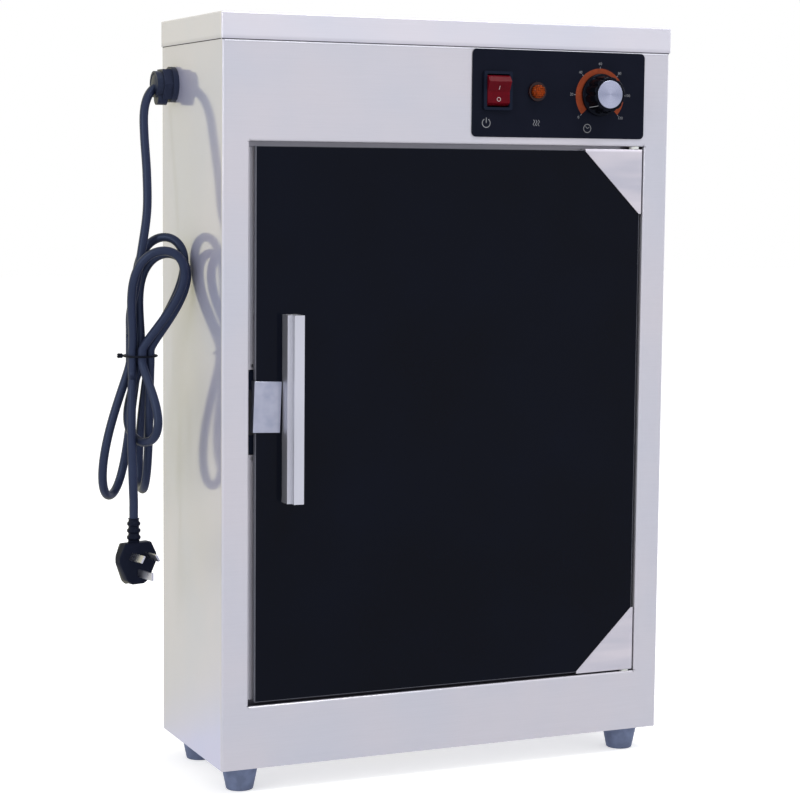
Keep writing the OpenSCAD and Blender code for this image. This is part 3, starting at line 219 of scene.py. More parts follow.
def arc_slab(centre, inner, outer, start, end, front, depth, steps=96):
    """A band between two radii from one angle to another: its four edges run along the arc."""
    angle = np.linspace(start, end, steps)
    radius = np.array((inner, outer, outer, inner))
    at = np.array((front, front, front + depth, front + depth))
    grid = np.empty((steps, 4, 3))
    grid[..., 0] = centre[0] + np.cos(angle)[:, None] * radius
    grid[..., 1] = at
    grid[..., 2] = centre[1] + np.sin(angle)[:, None] * radius
    return lofted(grid)


def stroke(start, end, width, front, depth):
    """A straight flat line of (x, z) points with thickness."""
    start, end = np.asarray(start, float), np.asarray(end, float)
    side = np.array((start[1] - end[1], end[0] - start[0]))
    side = side / np.linalg.norm(side) * width / 2
    return slab([start - side, end - side, end + side, start + side], front, depth)


def number_part(words, height, place, front, depth):
    """A printed number as a flat part, centred on place (x, z) and facing -Y."""
    curve = bpy.data.curves.new("number", "FONT")
    curve.body = words
    curve.size = height
    curve.extrude = depth / 2
    curve.align_x = "CENTER"
    curve.align_y = "CENTER"
    holder = bpy.data.objects.new("number", curve)
    bpy.context.scene.collection.objects.link(holder)
    drawn = holder.evaluated_get(bpy.context.evaluated_depsgraph_get())
    mesh = bpy.data.meshes.new_from_object(drawn)
    flat = np.empty(len(mesh.vertices) * 3)
    mesh.vertices.foreach_get("co", flat)
    flat = flat.reshape(-1, 3)
    faces = [list(face.vertices) for face in mesh.polygons]
    bpy.data.objects.remove(holder)
    bpy.data.curves.remove(curve)
    bpy.data.meshes.remove(mesh)
    points = np.column_stack([flat[:, 0] + place[0], front + depth / 2 - flat[:, 2],
                              flat[:, 1] + place[1]])
    return points, faces


def piece(name, part, body, material, replaces=(), sharp=35.0):
    """An object at the origin that holds a part, rides on a body and wears a finish."""
    points, faces = part
    mesh = bpy.data.meshes.new(name)
    mesh.from_pydata(points.tolist(), [], faces)
    mesh.polygons.foreach_set("use_smooth", np.ones(len(mesh.polygons), bool))
    mesh.set_sharp_from_angle(angle=math.radians(sharp))
    mesh.materials.append(material)
    made = bpy.data.objects.new(name, mesh)
    bpy.context.scene.collection.objects.link(made)
    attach(made, body)
    if replaces:
        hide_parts(*replaces)
    return made


def ease_edges(node, width, segments=2):
    """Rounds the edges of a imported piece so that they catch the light."""
    target = frame["nodes"][node]
    weld = target.modifiers.new("weld", "WELD")
    weld.merge_threshold = 0.002 * MM
    bevel = target.modifiers.new("edges", "BEVEL")
    bevel.width = width
    bevel.segments = segments
    bevel.limit_method = "ANGLE"
    bevel.angle_limit = math.radians(40)
    bevel.harden_normals = True


# Finishes: noise on Object coordinates varies tone, gloss and relief

SOCKETS = {"metallic": "Metallic", "specular": "Specular IOR Level", "tint": "Specular Tint",
           "coat": "Coat Weight", "coat_rough": "Coat Roughness", "coat_ior": "Coat IOR",
           "transmission": "Transmission Weight", "ior": "IOR", "subsurface": "Subsurface Weight"}
BLUISH = (0.55, 0.70, 1.0, 1.0)
# Shares of the base colour between which the clouds of a sheet run
EVEN = ((0.97, 0.97, 0.97), (1.03, 1.03, 1.03))
TINTED = ((0.96, 0.97, 1.0), (1.035, 1.0, 0.995))
BLOTCHED = ((0.86, 0.86, 0.90), (1.14, 1.09, 1.07))


def noise_field(tree, size, stretch, detail):
    """Noise whose patches are size across, and longer by stretch along each axis."""
    place = tree.nodes.new("ShaderNodeTexCoord")
    mapping = tree.nodes.new("ShaderNodeMapping")
    mapping.inputs["Scale"].default_value = [1 / (size * s) for s in stretch]
    noise = tree.nodes.new("ShaderNodeTexNoise")
    noise.inputs["Scale"].default_value = 1.0
    noise.inputs["Detail"].default_value = detail
    tree.links.new(place.outputs["Object"], mapping.inputs["Vector"])
    tree.links.new(mapping.outputs["Vector"], noise.inputs["Vector"])
    return noise.outputs[0]


def ramp(tree, value, low, high, start=0.35, end=0.65):
    """Colour that runs from low to high while value runs from start to end."""
    node = tree.nodes.new("ShaderNodeValToRGB")
    node.color_ramp.elements[0].position = start
    node.color_ramp.elements[0].color = (*low, 1.0)
    node.color_ramp.elements[1].position = end
    node.color_ramp.elements[1].color = (*high, 1.0)
    tree.links.new(value, node.inputs["Fac"])
    return node.outputs["Color"]


def spread(tree, value, low, high, start=0.3, end=0.7):
    """Number that runs from low to high while value runs from start to end."""
    node = tree.nodes.new("ShaderNodeMapRange")
    for name, number in (("From Min", start), ("From Max", end), ("To Min", low), ("To Max", high)):
        node.inputs[name].default_value = number
    tree.links.new(value, node.inputs["Value"])
    return node.outputs["Result"]


def maths(tree, operation, first, second=None):
    """Result of one operation on one or two values, each an output of a node or a number."""
    node = tree.nodes.new("ShaderNodeMath")
    node.operation = operation
    for socket, value in zip(node.inputs, (first, second)):
        if isinstance(value, (int, float)):
            socket.default_value = value
        elif value:
            tree.links.new(value, socket)
    return node.outputs["Value"]


def raised(tree, value, height, under=None):
    """A normal that follows value as a relief of that height, on top of the relief under it."""
    node = tree.nodes.new("ShaderNodeBump")
    node.inputs["Distance"].default_value = height
    tree.links.new(value, node.inputs["Height"])
    if under:
        tree.links.new(under, node.inputs["Normal"])
    return node.outputs["Normal"]


def new_shader(name, constants):
    """A material with its constant values on the shader's own sockets."""
    material = bpy.data.materials.new(name)
    material.use_nodes = True
    shader = material.node_tree.nodes["Principled BSDF"]
    for word, value in constants.items():
        shader.inputs[SOCKETS[word]].default_value = value
    return material, material.node_tree, shader


def grained(name, colour, rough, cloud, grain, relief, vary=0.08, stretch=(1, 1, 1), **constants):
    """A finish whose tone and gloss vary in clouds, with a fine relief of grain on top."""
    material, tree, shader = new_shader(name, constants)
    patches = noise_field(tree, cloud, (1, 1, 1), 3.0)
    fine = noise_field(tree, grain, stretch, 2.0)
    low = [c * (1 - vary) for c in colour]
    high = [min(1.0, c * (1 + vary)) for c in colour]
    tree.links.new(ramp(tree, patches, low, high), shader.inputs["Base Color"])
    tree.links.new(spread(tree, patches, *rough), shader.inputs["Roughness"])
    tree.links.new(raised(tree, fine, relief), shader.inputs["Normal"])
    return material


def brushed(name, colour, rough, along=0, wave=(150 * MM, 0.1 * MM), vary=EVEN, cloud=90 * MM,
            drawn=1.0, **constants):
    """Rolled sheet: fine lines along one axis vary gloss and relief, clouds vary the tone, and the
    sheet is a little wavy over the first size of wave by its second. Clouds are drawn out along X."""
    stretch = [60 if k == along else 1 for k in range(3)]
    material, tree, shader = new_shader(name, {"metallic": 1.0, **constants})
    lines = noise_field(tree, 0.5 * MM, stretch, 2.0)
    clouds = noise_field(tree, cloud, (drawn, 1, 1), 2.0)
    low, high = ([min(1.0, c * v) for c, v in zip(colour, side)] for side in vary)
    tree.links.new(ramp(tree, clouds, low, high), shader.inputs["Base Color"])
    tree.links.new(spread(tree, lines, *rough), shader.inputs["Roughness"])
    swell = raised(tree, noise_field(tree, wave[0], (1, 1, 1), 0.0), wave[1])
    grain = raised(tree, lines, 0.004 * MM, swell)
    tree.links.new(grain, shader.inputs["Normal"])
    tree.links.new(grain, shader.inputs["Coat Normal"])
    return material


def from_middle(tree, low, high):
    """Distance along each axis from the middle of a box, and half the size of the box."""
    low, high = Vector(low), Vector(high)
    place = tree.nodes.new("ShaderNodeTexCoord")
    inner = tree.nodes.new("ShaderNodeVectorMath")
    inner.operation = "SUBTRACT"
    inner.inputs[1].default_value = (low + high) / 2
    tree.links.new(place.outputs["Object"], inner.inputs[0])
    far = tree.nodes.new("ShaderNodeVectorMath")
    far.operation = "ABSOLUTE"
    tree.links.new(inner.outputs["Vector"], far.inputs[0])
    split = tree.nodes.new("ShaderNodeSeparateXYZ")
    tree.links.new(far.outputs["Vector"], split.inputs["Vector"])
    return split.outputs, (high - low) / 2


def inside(tree, low, high):
    """One for places inside a box, and zero elsewhere."""
    away, half = from_middle(tree, low, high)
    x, y, z = (maths(tree, "LESS_THAN", a, h) for a, h in zip(away, half))
    return maths(tree, "MULTIPLY", maths(tree, "MULTIPLY", x, y), z)


def retouched(material, *areas):
    """A finish whose tone is multiplied by the colour of each area, and its coat by the area's share: the
    areas paint shade, highlight and reflection tint. An area is a box of two corners, or two heights
    between which its effect fades out."""
    tree = material.node_tree
    shader = tree.nodes["Principled BSDF"]
    base = shader.inputs["Base Color"].links[0].from_socket
    coat = shader.inputs["Coat Weight"].default_value
    for (low, high), colour, share in areas:
        if isinstance(low, float):
            place = tree.nodes.new("ShaderNodeTexCoord")
            split = tree.nodes.new("ShaderNodeSeparateXYZ")
            tree.links.new(place.outputs["Object"], split.inputs["Vector"])
            within = spread(tree, split.outputs["Z"], 1.0, 0.0, low, high)
        else:
            within = inside(tree, low, high)
        mix = tree.nodes.new("ShaderNodeMix")
        mix.data_type = "RGBA"
        mix.blend_type = "MULTIPLY"
        tree.links.new(within, mix.inputs["Factor"])
        tree.links.new(base, mix.inputs[6])
        mix.inputs[7].default_value = (*colour, 1.0)
        base = mix.outputs[2]
        coat = maths(tree, "MULTIPLY", coat, spread(tree, within, 1.0, share, 0.0, 1.0))
    tree.links.new(base, shader.inputs["Base Color"])
    tree.links.new(coat, shader.inputs["Coat Weight"])
    return material


def painted_side_tint(node, colour):
    """Area of the outside of a folded sheet's left side, behind its front corner, whose colour is a
    painted reflection tint over the steel.
    """
    low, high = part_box(node)
    return (((low.x - 1 * MM, low.y + 3 * MM, low.z - 1 * MM),
             (low.x + 0.5 * MM, high.y + 1 * MM, high.z + 1 * MM)), colour, 1.0)


def body_painted_areas():
    """Areas of painted light on the body sheet: painted shade in the head and sill of the door opening,
    and a painted reflection tint on the left side.
    """
    front = front_of("wrapper")
    pane_low, pane_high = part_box("door_glass")
    fold, reach = front + 1.6 * MM, front + 40 * MM
    left, right = pane_low.x - 8 * MM, pane_high.x + 8 * MM
    # Painted shade in the recess of the opening: the head at half tone and the sill nearly black, both
    # with less coat
    return ((((left, fold, pane_high.z - 1 * MM), (right, reach, pane_high.z + 12 * MM)),
             (0.50, 0.50, 0.53), 0.6),
            (((left, fold, pane_low.z - 12 * MM), (right, reach, pane_low.z + 1 * MM)),
             (0.10, 0.10, 0.12), 0.1),
            # Painted reflection tint: the left side bluer than the front
            painted_side_tint("wrapper", (0.94, 0.97, 1.16)))


def door_pane(name, colour):
    """Dark glass, with a pale ground edge where the place is outside the pane's front face."""
    material, tree, shader = new_shader(name, {"specular": 0.09})
    patches = noise_field(tree, 120 * MM, (1, 1, 1), 2.0)
    dark = ramp(tree, patches, [c * 0.8 for c in colour], [c * 1.2 for c in colour])
    low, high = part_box("door_glass")
    rim = 0.25 * MM
    away, half = from_middle(tree, low, high)
    edges = [maths(tree, "GREATER_THAN", away[k], half[k] - rim) for k in (0, 2)]
    mix = tree.nodes.new("ShaderNodeMix")
    mix.data_type = "RGBA"
    tree.links.new(maths(tree, "MAXIMUM", *edges), mix.inputs["Factor"])
    tree.links.new(dark, mix.inputs[6])
    mix.inputs[7].default_value = (0.16, 0.165, 0.20, 1.0)
    tree.links.new(mix.outputs[2], shader.inputs["Base Color"])
    tree.links.new(spread(tree, patches, 0.02, 0.07), shader.inputs["Roughness"])
    return material


def spun_aluminium_painted_sheen(name, low, high, centre):
    """Turned disc with a painted reflection: bright above and below its centre and darker to the sides,
    by the sine of the angle about Y and a little noise, with fine rings by the radius."""
    material, tree, shader = new_shader(name, {"metallic": 1.0})
    place = tree.nodes.new("ShaderNodeTexCoord")
    mapping = tree.nodes.new("ShaderNodeMapping")
    mapping.inputs["Location"].default_value = (-centre[0], 0.0, -centre[2])
    split = tree.nodes.new("ShaderNodeSeparateXYZ")
    tree.links.new(place.outputs["Object"], mapping.inputs["Vector"])
    tree.links.new(mapping.outputs["Vector"], split.inputs["Vector"])
    turn = maths(tree, "ARCTAN2", split.outputs["Z"], split.outputs["X"])
    wedge = tree.nodes.new("ShaderNodeTexNoise")
    wedge.noise_dimensions = "1D"
    wedge.inputs["Scale"].default_value = 2.2
    wedge.inputs["Detail"].default_value = 3.0
    tree.links.new(turn, wedge.inputs["W"])
    lobes = maths(tree, "ABSOLUTE", maths(tree, "SINE", turn))
    light = maths(tree, "ADD", maths(tree, "MULTIPLY", lobes, 0.7),
                  maths(tree, "MULTIPLY", wedge.outputs[0], 0.3))
    tree.links.new(ramp(tree, light, low, high, 0.15, 0.85), shader.inputs["Base Color"])
    radius = tree.nodes.new("ShaderNodeVectorMath")
    radius.operation = "LENGTH"
    flat = tree.nodes.new("ShaderNodeCombineXYZ")
    tree.links.new(split.outputs["X"], flat.inputs["X"])
    tree.links.new(split.outputs["Z"], flat.inputs["Z"])
    tree.links.new(flat.outputs["Vector"], radius.inputs[0])
    rings = tree.nodes.new("ShaderNodeTexNoise")
    rings.noise_dimensions = "1D"
    rings.inputs["Scale"].default_value = 1 / (0.35 * MM)
    tree.links.new(radius.outputs["Value"], rings.inputs["W"])
    tree.links.new(spread(tree, rings.outputs[0], 0.2, 0.42), shader.inputs["Roughness"])
    tree.links.new(raised(tree, rings.outputs[0], 0.01 * MM), shader.inputs["Normal"])
    return material


def ribbed_lens(name, colour, pitch):
    """Pilot lens: painted shade darkens the tone along its crossed ribs, which also stand out as a
    relief.
    """
    material, tree, shader = new_shader(name, {"specular": 0.06, "subsurface": 0.1})
    place = tree.nodes.new("ShaderNodeTexCoord")
    cells = tree.nodes.new("ShaderNodeTexVoronoi")
    cells.inputs["Scale"].default_value = 1 / pitch
    cells.inputs["Randomness"].default_value = 0.35
    tree.links.new(place.outputs["Object"], cells.inputs["Vector"])
    # Painted shade in the grooves between the ribs
    low = [c * 0.3 for c in colour]
    tree.links.new(ramp(tree, cells.outputs["Distance"], colour, low, 0.1, 0.7),
                   shader.inputs["Base Color"])
    tree.links.new(spread(tree, cells.outputs["Distance"], 0.12, 0.3, 0.0, 0.8),
                   shader.inputs["Roughness"])
    tree.links.new(raised(tree, cells.outputs["Distance"], -0.3 * MM), shader.inputs["Normal"])
    return material


def finish(slot):
    """The finish of a material slot, made once."""
    name = slot + "_finish"
    if name in bpy.data.materials:
        return bpy.data.materials[name]
    tone = bpy.context.scene.cabinet_colours
    moulded = {"rough": (0.36, 0.5), "cloud": 12 * MM, "grain": 0.35 * MM, "relief": 0.012 * MM}
    soft = {"rough": (0.5, 0.68), "cloud": 9 * MM, "grain": 0.5 * MM, "relief": 0.02 * MM}
    metal = {"metallic": 1.0, "cloud": 8 * MM, "grain": 0.4 * MM, "relief": 0.006 * MM}
    sheet = {"metallic": 0.55, "coat": 1.0, "coat_ior": 2.05, "coat_rough": 0.08}
    plate = {**sheet, "metallic": 0.85}
    dark = {"specular": 0.14, "tint": BLUISH}
    lid_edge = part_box("top_cover")[0].z
    shoe_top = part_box("top_shoe")[1].z
    makers = {
        "steel": lambda: brushed(name, tone.steel, (0.48, 0.60), vary=TINTED, **sheet),
        "body_steel": lambda: retouched(
            brushed(name, tone.steel, (0.48, 0.60), vary=TINTED, **sheet), *body_painted_areas()),
        # Painted light on the lid: a lighter copy of the body steel, painted shade towards its lower
        # edge, and a painted reflection tint on its left side
        "lid_steel": lambda: retouched(
            brushed(name, [1.19 * c for c in tone.steel], (0.48, 0.60), vary=TINTED, **sheet),
            ((lid_edge, lid_edge + 3.5 * MM), (0.75, 0.75, 0.77), 0.8),
            painted_side_tint("top_cover", (0.87, 0.90, 1.05))),
        # Painted highlight: the bright bead under the lid
        "painted_highlight_bead": lambda: brushed(name, (0.93, 0.93, 0.95), (0.30, 0.42)),
        "inner_sheet": lambda: brushed(name, (0.50, 0.50, 0.51), (0.36, 0.48), **sheet),
        "reflector": lambda: brushed(name, (0.78, 0.79, 0.80), (0.10, 0.20)),
        "shoe_steel": lambda: brushed(name, (0.54, 0.53, 0.56), (0.36, 0.48), vary=BLOTCHED,
                                      wave=(22 * MM, 0.12 * MM), cloud=16 * MM, drawn=6.0, **plate),
        # Painted highlight: the top shoe lighter along its top 2.6 mm, fading downwards
        "shoe_painted_highlight": lambda: retouched(
            brushed(name, (0.54, 0.53, 0.56), (0.36, 0.48), vary=BLOTCHED, cloud=16 * MM, drawn=6.0,
                    **plate), ((shoe_top, shoe_top - 2.6 * MM), (1.7, 1.7, 1.7), 1.0)),
        "clip_steel": lambda: brushed(name, (0.31, 0.34, 0.43), (0.34, 0.46), vary=BLOTCHED,
                                      wave=(9 * MM, 0.06 * MM), cloud=12 * MM, **plate),
        "rail_steel": lambda: brushed(name, (0.56, 0.56, 0.57), (0.20, 0.32)),
        "handle_aluminium": lambda: brushed(name, tone.aluminium, (0.45, 0.55), along=2),
        # Painted reflection on the turned cap
        "cap_aluminium": lambda: spun_aluminium_painted_sheen(name, (0.30, 0.32, 0.41), (0.43, 0.45, 0.55),
                                                middle("knob_cap")),
        "lamp_amber": lambda: ribbed_lens(name, tone.amber, 1.6 * MM),
        "smoked_glass": lambda: door_pane(name, tone.glass),
        "panel_black": lambda: grained(name, tone.panel, (0.34, 0.46), 25 * MM, 0.3 * MM,
                                       0.012 * MM, specular=0.09, tint=BLUISH),
        "black_plastic": lambda: grained(name, tone.plastic, **moulded, **dark),
        "plug_black": lambda: grained(name, (0.005, 0.006, 0.013), **moulded, **dark),
        "gland_black": lambda: grained(name, (0.018, 0.022, 0.042), specular=0.3, tint=BLUISH, **moulded),
        # Painted shade: the dark bead in the gap under the lid
        "painted_shade_seam": lambda: grained(name, (0.03, 0.03, 0.04), specular=0.1, **soft),
        "knob_black": lambda: grained(name, (0.003, 0.003, 0.005), (0.16, 0.24), 9 * MM, 1.2 * MM,
                                      0.006 * MM, specular=0.08, tint=BLUISH),
        "rocker_red": lambda: grained(name, tone.rocker, (0.16, 0.28), 7 * MM, 0.8 * MM, 0.006 * MM,
                                      specular=0.05, subsurface=0.05),
        "lamp_bezel": lambda: grained(name, (0.020, 0.005, 0.004), (0.12, 0.26), 5 * MM, 0.5 * MM,
                                      0.01 * MM, specular=0.25),
        "timer_white": lambda: grained(name, (0.66, 0.64, 0.58), **moulded),
        "white_plastic": lambda: grained(name, (0.78, 0.78, 0.75), **moulded),
        "nylon": lambda: grained(name, (0.74, 0.74, 0.70), subsurface=0.1, **moulded),
        "plunger_orange": lambda: grained(name, (0.62, 0.13, 0.03), **moulded),
        "foot_rubber": lambda: grained(name, tone.rubber, vary=0.14, specular=0.12, **soft),
        "washer_rubber": lambda: grained(name, (0.010, 0.010, 0.012), specular=0.15, **soft),
        "cord_black": lambda: grained(name, tone.cord, (0.32, 0.44), 20 * MM, 0.6 * MM, 0.012 * MM,
                                      specular=0.35, tint=BLUISH),
        "tie_black": lambda: grained(name, (0.005, 0.005, 0.008), **moulded, **dark),
        "screw_zinc": lambda: grained(name, (0.58, 0.58, 0.59), (0.22, 0.36), **metal),
        "pin_steel": lambda: grained(name, (0.52, 0.52, 0.53), (0.2, 0.32), **metal),
        "pin_brass": lambda: grained(name, (0.64, 0.64, 0.66), (0.22, 0.36), **metal),
        "shaft_brass": lambda: grained(name, (0.70, 0.58, 0.33), (0.2, 0.34), **metal),
        "cap_metal": lambda: grained(name, (0.70, 0.70, 0.72), (0.18, 0.3), **metal),
        "heater_steel": lambda: grained(name, (0.26, 0.22, 0.20), (0.34, 0.5), vary=0.25, **metal),
        "ballast_steel": lambda: grained(name, (0.10, 0.105, 0.115), (0.4, 0.55), **metal),
        "magnet": lambda: grained(name, (0.040, 0.040, 0.044), specular=0.2, **soft),
        "tube_glass": lambda: grained(name, (0.92, 0.94, 0.98), (0.02, 0.08), 30 * MM, 8 * MM,
                                      0.004 * MM, vary=0.04, transmission=0.85, ior=1.46),
    }
    return makers[slot]()


def dress(*nodes, like=None):
    """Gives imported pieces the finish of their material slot, or one that is like another."""
    for node in nodes:
        for held in frame["nodes"][node].material_slots:
            held.material = finish(like or held.material.name)


def printed(name, colour):
    """Screen print: a matt ink whose cover varies a little."""
    return grained(name, colour, (0.45, 0.6), 3 * MM, 0.3 * MM, 0.006 * MM, vary=0.12, specular=0.1)


# Route of the supply cord, from the gland through the tied hank to the plug

GLAND = np.array((-199.0, 52.725, 568.0)) * MM
GLAND_BLIND = 4.0 * MM
WAIST = GLAND + np.array((-38.5, -29.0, -220.0)) * MM
ACROSS = np.array((0.8, -0.6, 0.0))
OUT = np.array((0.6, 0.8, 0.0))
UP = np.array((0.0, 0.0, 1.0))
PITCH = 8.6 * MM
ROW = 7.2 * MM
TIE_HALF = 4.0 * MM
LEAD = 8.0 * MM
DROP_ROUTE = np.array((
    (-8, 0, 0), (-13, -0.3, -0.9), (-19.5, -1.5, -5), (-25, -4.5, -13), (-28.3, -8, -25),
    (-29.5, -13, -43), (-30.5, -22.5, -73), (-32, -27.5, -103), (-38, -33, -133), (-44, -35, -163),
    (-47, -30.5, -185), (-46, -26, -199))) * MM
TAIL_ROUTE = np.array(((-2, -5, -20), (-3.5, -9, -50), (-3, -10.5, -85), (-2.5, -11, -104))) * MM
TAIL_DROP = np.array((-2.5, -11.0, -119.0)) * MM
# Places of the strands in the tie: middle row, front row and back row
M1, M2, M3 = np.array(((-1.0, 0.0), (0.0, 0.0), (1.0, 0.0)))
F1, F2 = np.array(((-0.5, -1.0), (0.5, -1.0)))
K1, K2 = np.array(((-0.5, 1.0), (0.5, 1.0)))
# Each loop: place it starts, place it ends, up or down, reach, width, lean across and out, turn
LOOPS = (
    (M1, K1, -1, 113, 29, -24, 4, 88),
    (K1, K2, 1, 92, 27, 17.5, 6, 0),
    (K2, M3, -1, 109, 27, -14, 20, -60),
    (M3, M2, 1, 79, 26, 19, 5, 180),
    (M2, F2, -1, 65, 28, 5, -10, -30),
    (F2, F1, 1, 82, 27, 27, -8, 195))
LEAN_EARLY = 0.5
WIDTH_POWER = 0.75
SOFT_START = 0.05
LOOP_STEPS = 73


def strand(place):
    """Point of a strand at the middle of the tie."""
    return WAIST + place[0] * PITCH * ACROSS + place[1] * ROW * OUT


HANK_TOP = strand(M1) + (TIE_HALF + LEAD) * UP
HANK_LOW = strand(F1) - (TIE_HALF + LEAD) * UP
PLUG_TOP = HANK_LOW + TAIL_DROP


def smooth_route(points, steps):
    """Catmull-Rom curve: from b to c runs the cubic with end slopes (c - a) / 2 and (d - b) / 2."""
    ends = np.vstack([points[:1], points, points[-1:]])
    count = len(points) - 1
    a, b, c, d = (ends[k:count + k, None] for k in range(4))
    t = (np.arange(steps) / steps)[None, :, None]
    curve = 0.5 * (2 * b + (c - a) * t + (2 * a - 5 * b + 4 * c - d) * t ** 2
                   + (3 * b - a - 3 * c + d) * t ** 3)
    return np.vstack([curve.reshape(-1, 3), points[-1:]])


def loop_points(start, end, way, reach, width, lean_across, lean_out, turn):
    """One loop of the hank: it rises by sin squared, its two runs part by sin twice the angle, and
    it leans sideways while its foot moves from one place in the tie to the next."""
    t = np.linspace(0, 1, LOOP_STEPS)
    rise = np.sin(math.pi * t) ** 2
    ease = t * t * (3 - 2 * t)
    soft = rise / (rise + SOFT_START)
    lean = soft * rise * (1 + LEAN_EARLY * (1 - rise))
    part = -width * soft * np.sin(TAU * t) * rise ** WIDTH_POWER
    turn = math.radians(turn)
    foot = start * (1 - ease)[:, None] + end * ease[:, None]
    across = foot[:, 0] * PITCH + (lean_across * lean + part * math.cos(turn)) * MM
    out = foot[:, 1] * ROW + (lean_out * lean + part * math.sin(turn)) * MM
    up = way * (TIE_HALF + reach * rise * MM)
    return WAIST + across[:, None] * ACROSS + out[:, None] * OUT + up[:, None] * UP


def cord_route(diameter):
    """The whole cord as one line of points."""
    step = diameter * UP
    drop = smooth_route(np.vstack([GLAND + DROP_ROUTE, HANK_TOP + step]), 8)
    tail = smooth_route(np.vstack([HANK_LOW - step, HANK_LOW + TAIL_ROUTE, PLUG_TOP + step]), 10)
    inside = GLAND - np.array((GLAND_BLIND, 0, 0))
    hank = [loop_points(*loop) for loop in LOOPS]
    return np.vstack([inside, drop, HANK_TOP, HANK_TOP - step, *hank, HANK_LOW + step, HANK_LOW,
                      tail, PLUG_TOP])


class STERILIZER_OT_stage(bpy.types.Operator):
    """Make the camera at the photograph's angle, the white floor, the surroundings and the lamps"""

    bl_idname = "sterilizer.stage"
    bl_label = "Studio stage"

    camera_place = Vector((-0.7659, -1.690375, 0.5007))
    camera_ahead = Vector((0.403, 0.90923, -0.10437))
    camera_up = Vector((0.03365, 0.09925, 0.99449))
    # Share of the floor's glow in mirrors at the cabinet: painted shade that fades out further away
    near = 0.93
    warm = (1.05, 1.00, 0.70)
    warm_way = (-0.403, 0.909, 0.0)
    cool = (0.99, 0.995, 1.10)

    def add_camera(self, setup):
        """A camera from its place, its direction and its upward side."""
        data = bpy.data.cameras.new("studio_camera")
        data.lens = setup.lens
        data.sensor_width = 36.0
        data.clip_end = 100.0
        camera = bpy.data.objects.new("studio_camera", data)
        ahead = self.camera_ahead.normalized()
        right = ahead.cross(self.camera_up).normalized()
        up = right.cross(ahead)
        turn = Matrix((right, up, -ahead)).transposed().to_4x4()
        camera.matrix_world = Matrix.Translation(self.camera_place) @ turn
        bpy.context.scene.collection.objects.link(camera)
        bpy.context.scene.camera = camera

    def tint(self, tree, vector):
        """Reflected white: warm towards the left rear, which the left side mirrors, and cool
        elsewhere, by the level angle between a place and that way."""
        level = tree.nodes.new("ShaderNodeVectorMath")
        level.operation = "MULTIPLY"
        level.inputs[1].default_value = (1.0, 1.0, 0.0)
        tree.links.new(vector, level.inputs[0])
        unit = tree.nodes.new("ShaderNodeVectorMath")
        unit.operation = "NORMALIZE"
        tree.links.new(level.outputs["Vector"], unit.inputs[0])
        near = tree.nodes.new("ShaderNodeVectorMath")
        near.operation = "DOT_PRODUCT"
        near.inputs[1].default_value = self.warm_way
        tree.links.new(unit.outputs["Vector"], near.inputs[0])
        return ramp(tree, near.outputs["Value"], self.cool, self.warm, 0.75, 0.95)

    def reflected(self, tree):
        """Two marks: rays from the camera, and rays that a glossy or a clear surface sends out."""
        path = tree.nodes.new("ShaderNodeLightPath")
        both = maths(tree, "MAXIMUM", path.outputs["Is Glossy Ray"], path.outputs["Is Transmission Ray"])
        return path.outputs["Is Camera Ray"], both

    def choose(self, tree, factor, first, second):
        """The second shader where factor is one, and the first elsewhere."""
        mix = tree.nodes.new("ShaderNodeMixShader")
        tree.links.new(factor, mix.inputs[0])
        tree.links.new(first, mix.inputs[1])
        tree.links.new(second, mix.inputs[2])
        return mix.outputs["Shader"]

    def add_world(self, setup):
        """White surroundings that light the cabinet at a plain level."""
        world = bpy.data.worlds.new("white_room")
        world.use_nodes = True
        tree = world.node_tree
        light = tree.nodes["Background"]
        light.inputs["Color"].default_value = (1.0, 1.0, 1.0, 1.0)
        light.inputs["Strength"].default_value = setup.sky
        mirrored = tree.nodes.new("ShaderNodeBackground")
        place = tree.nodes.new("ShaderNodeTexCoord")
        tree.links.new(self.tint(tree, place.outputs["Generated"]), mirrored.inputs["Color"])
        seen = tree.nodes.new("ShaderNodeBackground")
        seen.inputs["Color"].default_value = (1.0, 1.0, 1.0, 1.0)
        camera, glossy = self.reflected(tree)
        room = self.choose(tree, glossy, light.outputs[0], mirrored.outputs[0])
        room = self.choose(tree, camera, room, seen.outputs[0])
        tree.links.new(room, tree.nodes["World Output"].inputs["Surface"])
        bpy.context.scene.world = world

    def floor_material(self):
        """Pale floor: white to the camera except in the shadow of the cabinet, and a tinted glow in
        mirrors with painted shade that dims it near the cabinet.
        """
        material = bpy.data.materials.new("pale_floor")
        material.use_nodes = True
        tree = material.node_tree
        tree.nodes.remove(tree.nodes["Principled BSDF"])
        matt = tree.nodes.new("ShaderNodeBsdfDiffuse")
        matt.inputs["Color"].default_value = (0.8, 0.8, 0.8, 1.0)
        glow = tree.nodes.new("ShaderNodeEmission")
        glow.inputs["Strength"].default_value = 0.5
        lit = tree.nodes.new("ShaderNodeAddShader")
        tree.links.new(matt.outputs[0], lit.inputs[0])
        tree.links.new(glow.outputs[0], lit.inputs[1])
        mirrored = tree.nodes.new("ShaderNodeEmission")
        place = tree.nodes.new("ShaderNodeTexCoord")
        tree.links.new(self.tint(tree, place.outputs["Object"]), mirrored.inputs["Color"])
        away = tree.nodes.new("ShaderNodeVectorMath")
        away.operation = "LENGTH"
        tree.links.new(place.outputs["Object"], away.inputs[0])
        tree.links.new(spread(tree, away.outputs["Value"], self.near, 1.0, 0.2, 2.5),
                       mirrored.inputs["Strength"])
        camera, glossy = self.reflected(tree)
        shown = self.choose(tree, glossy, matt.outputs[0], mirrored.outputs[0])
        shown = self.choose(tree, camera, shown, lit.outputs[0])
        tree.links.new(shown, tree.nodes["Material Output"].inputs["Surface"])
        return material

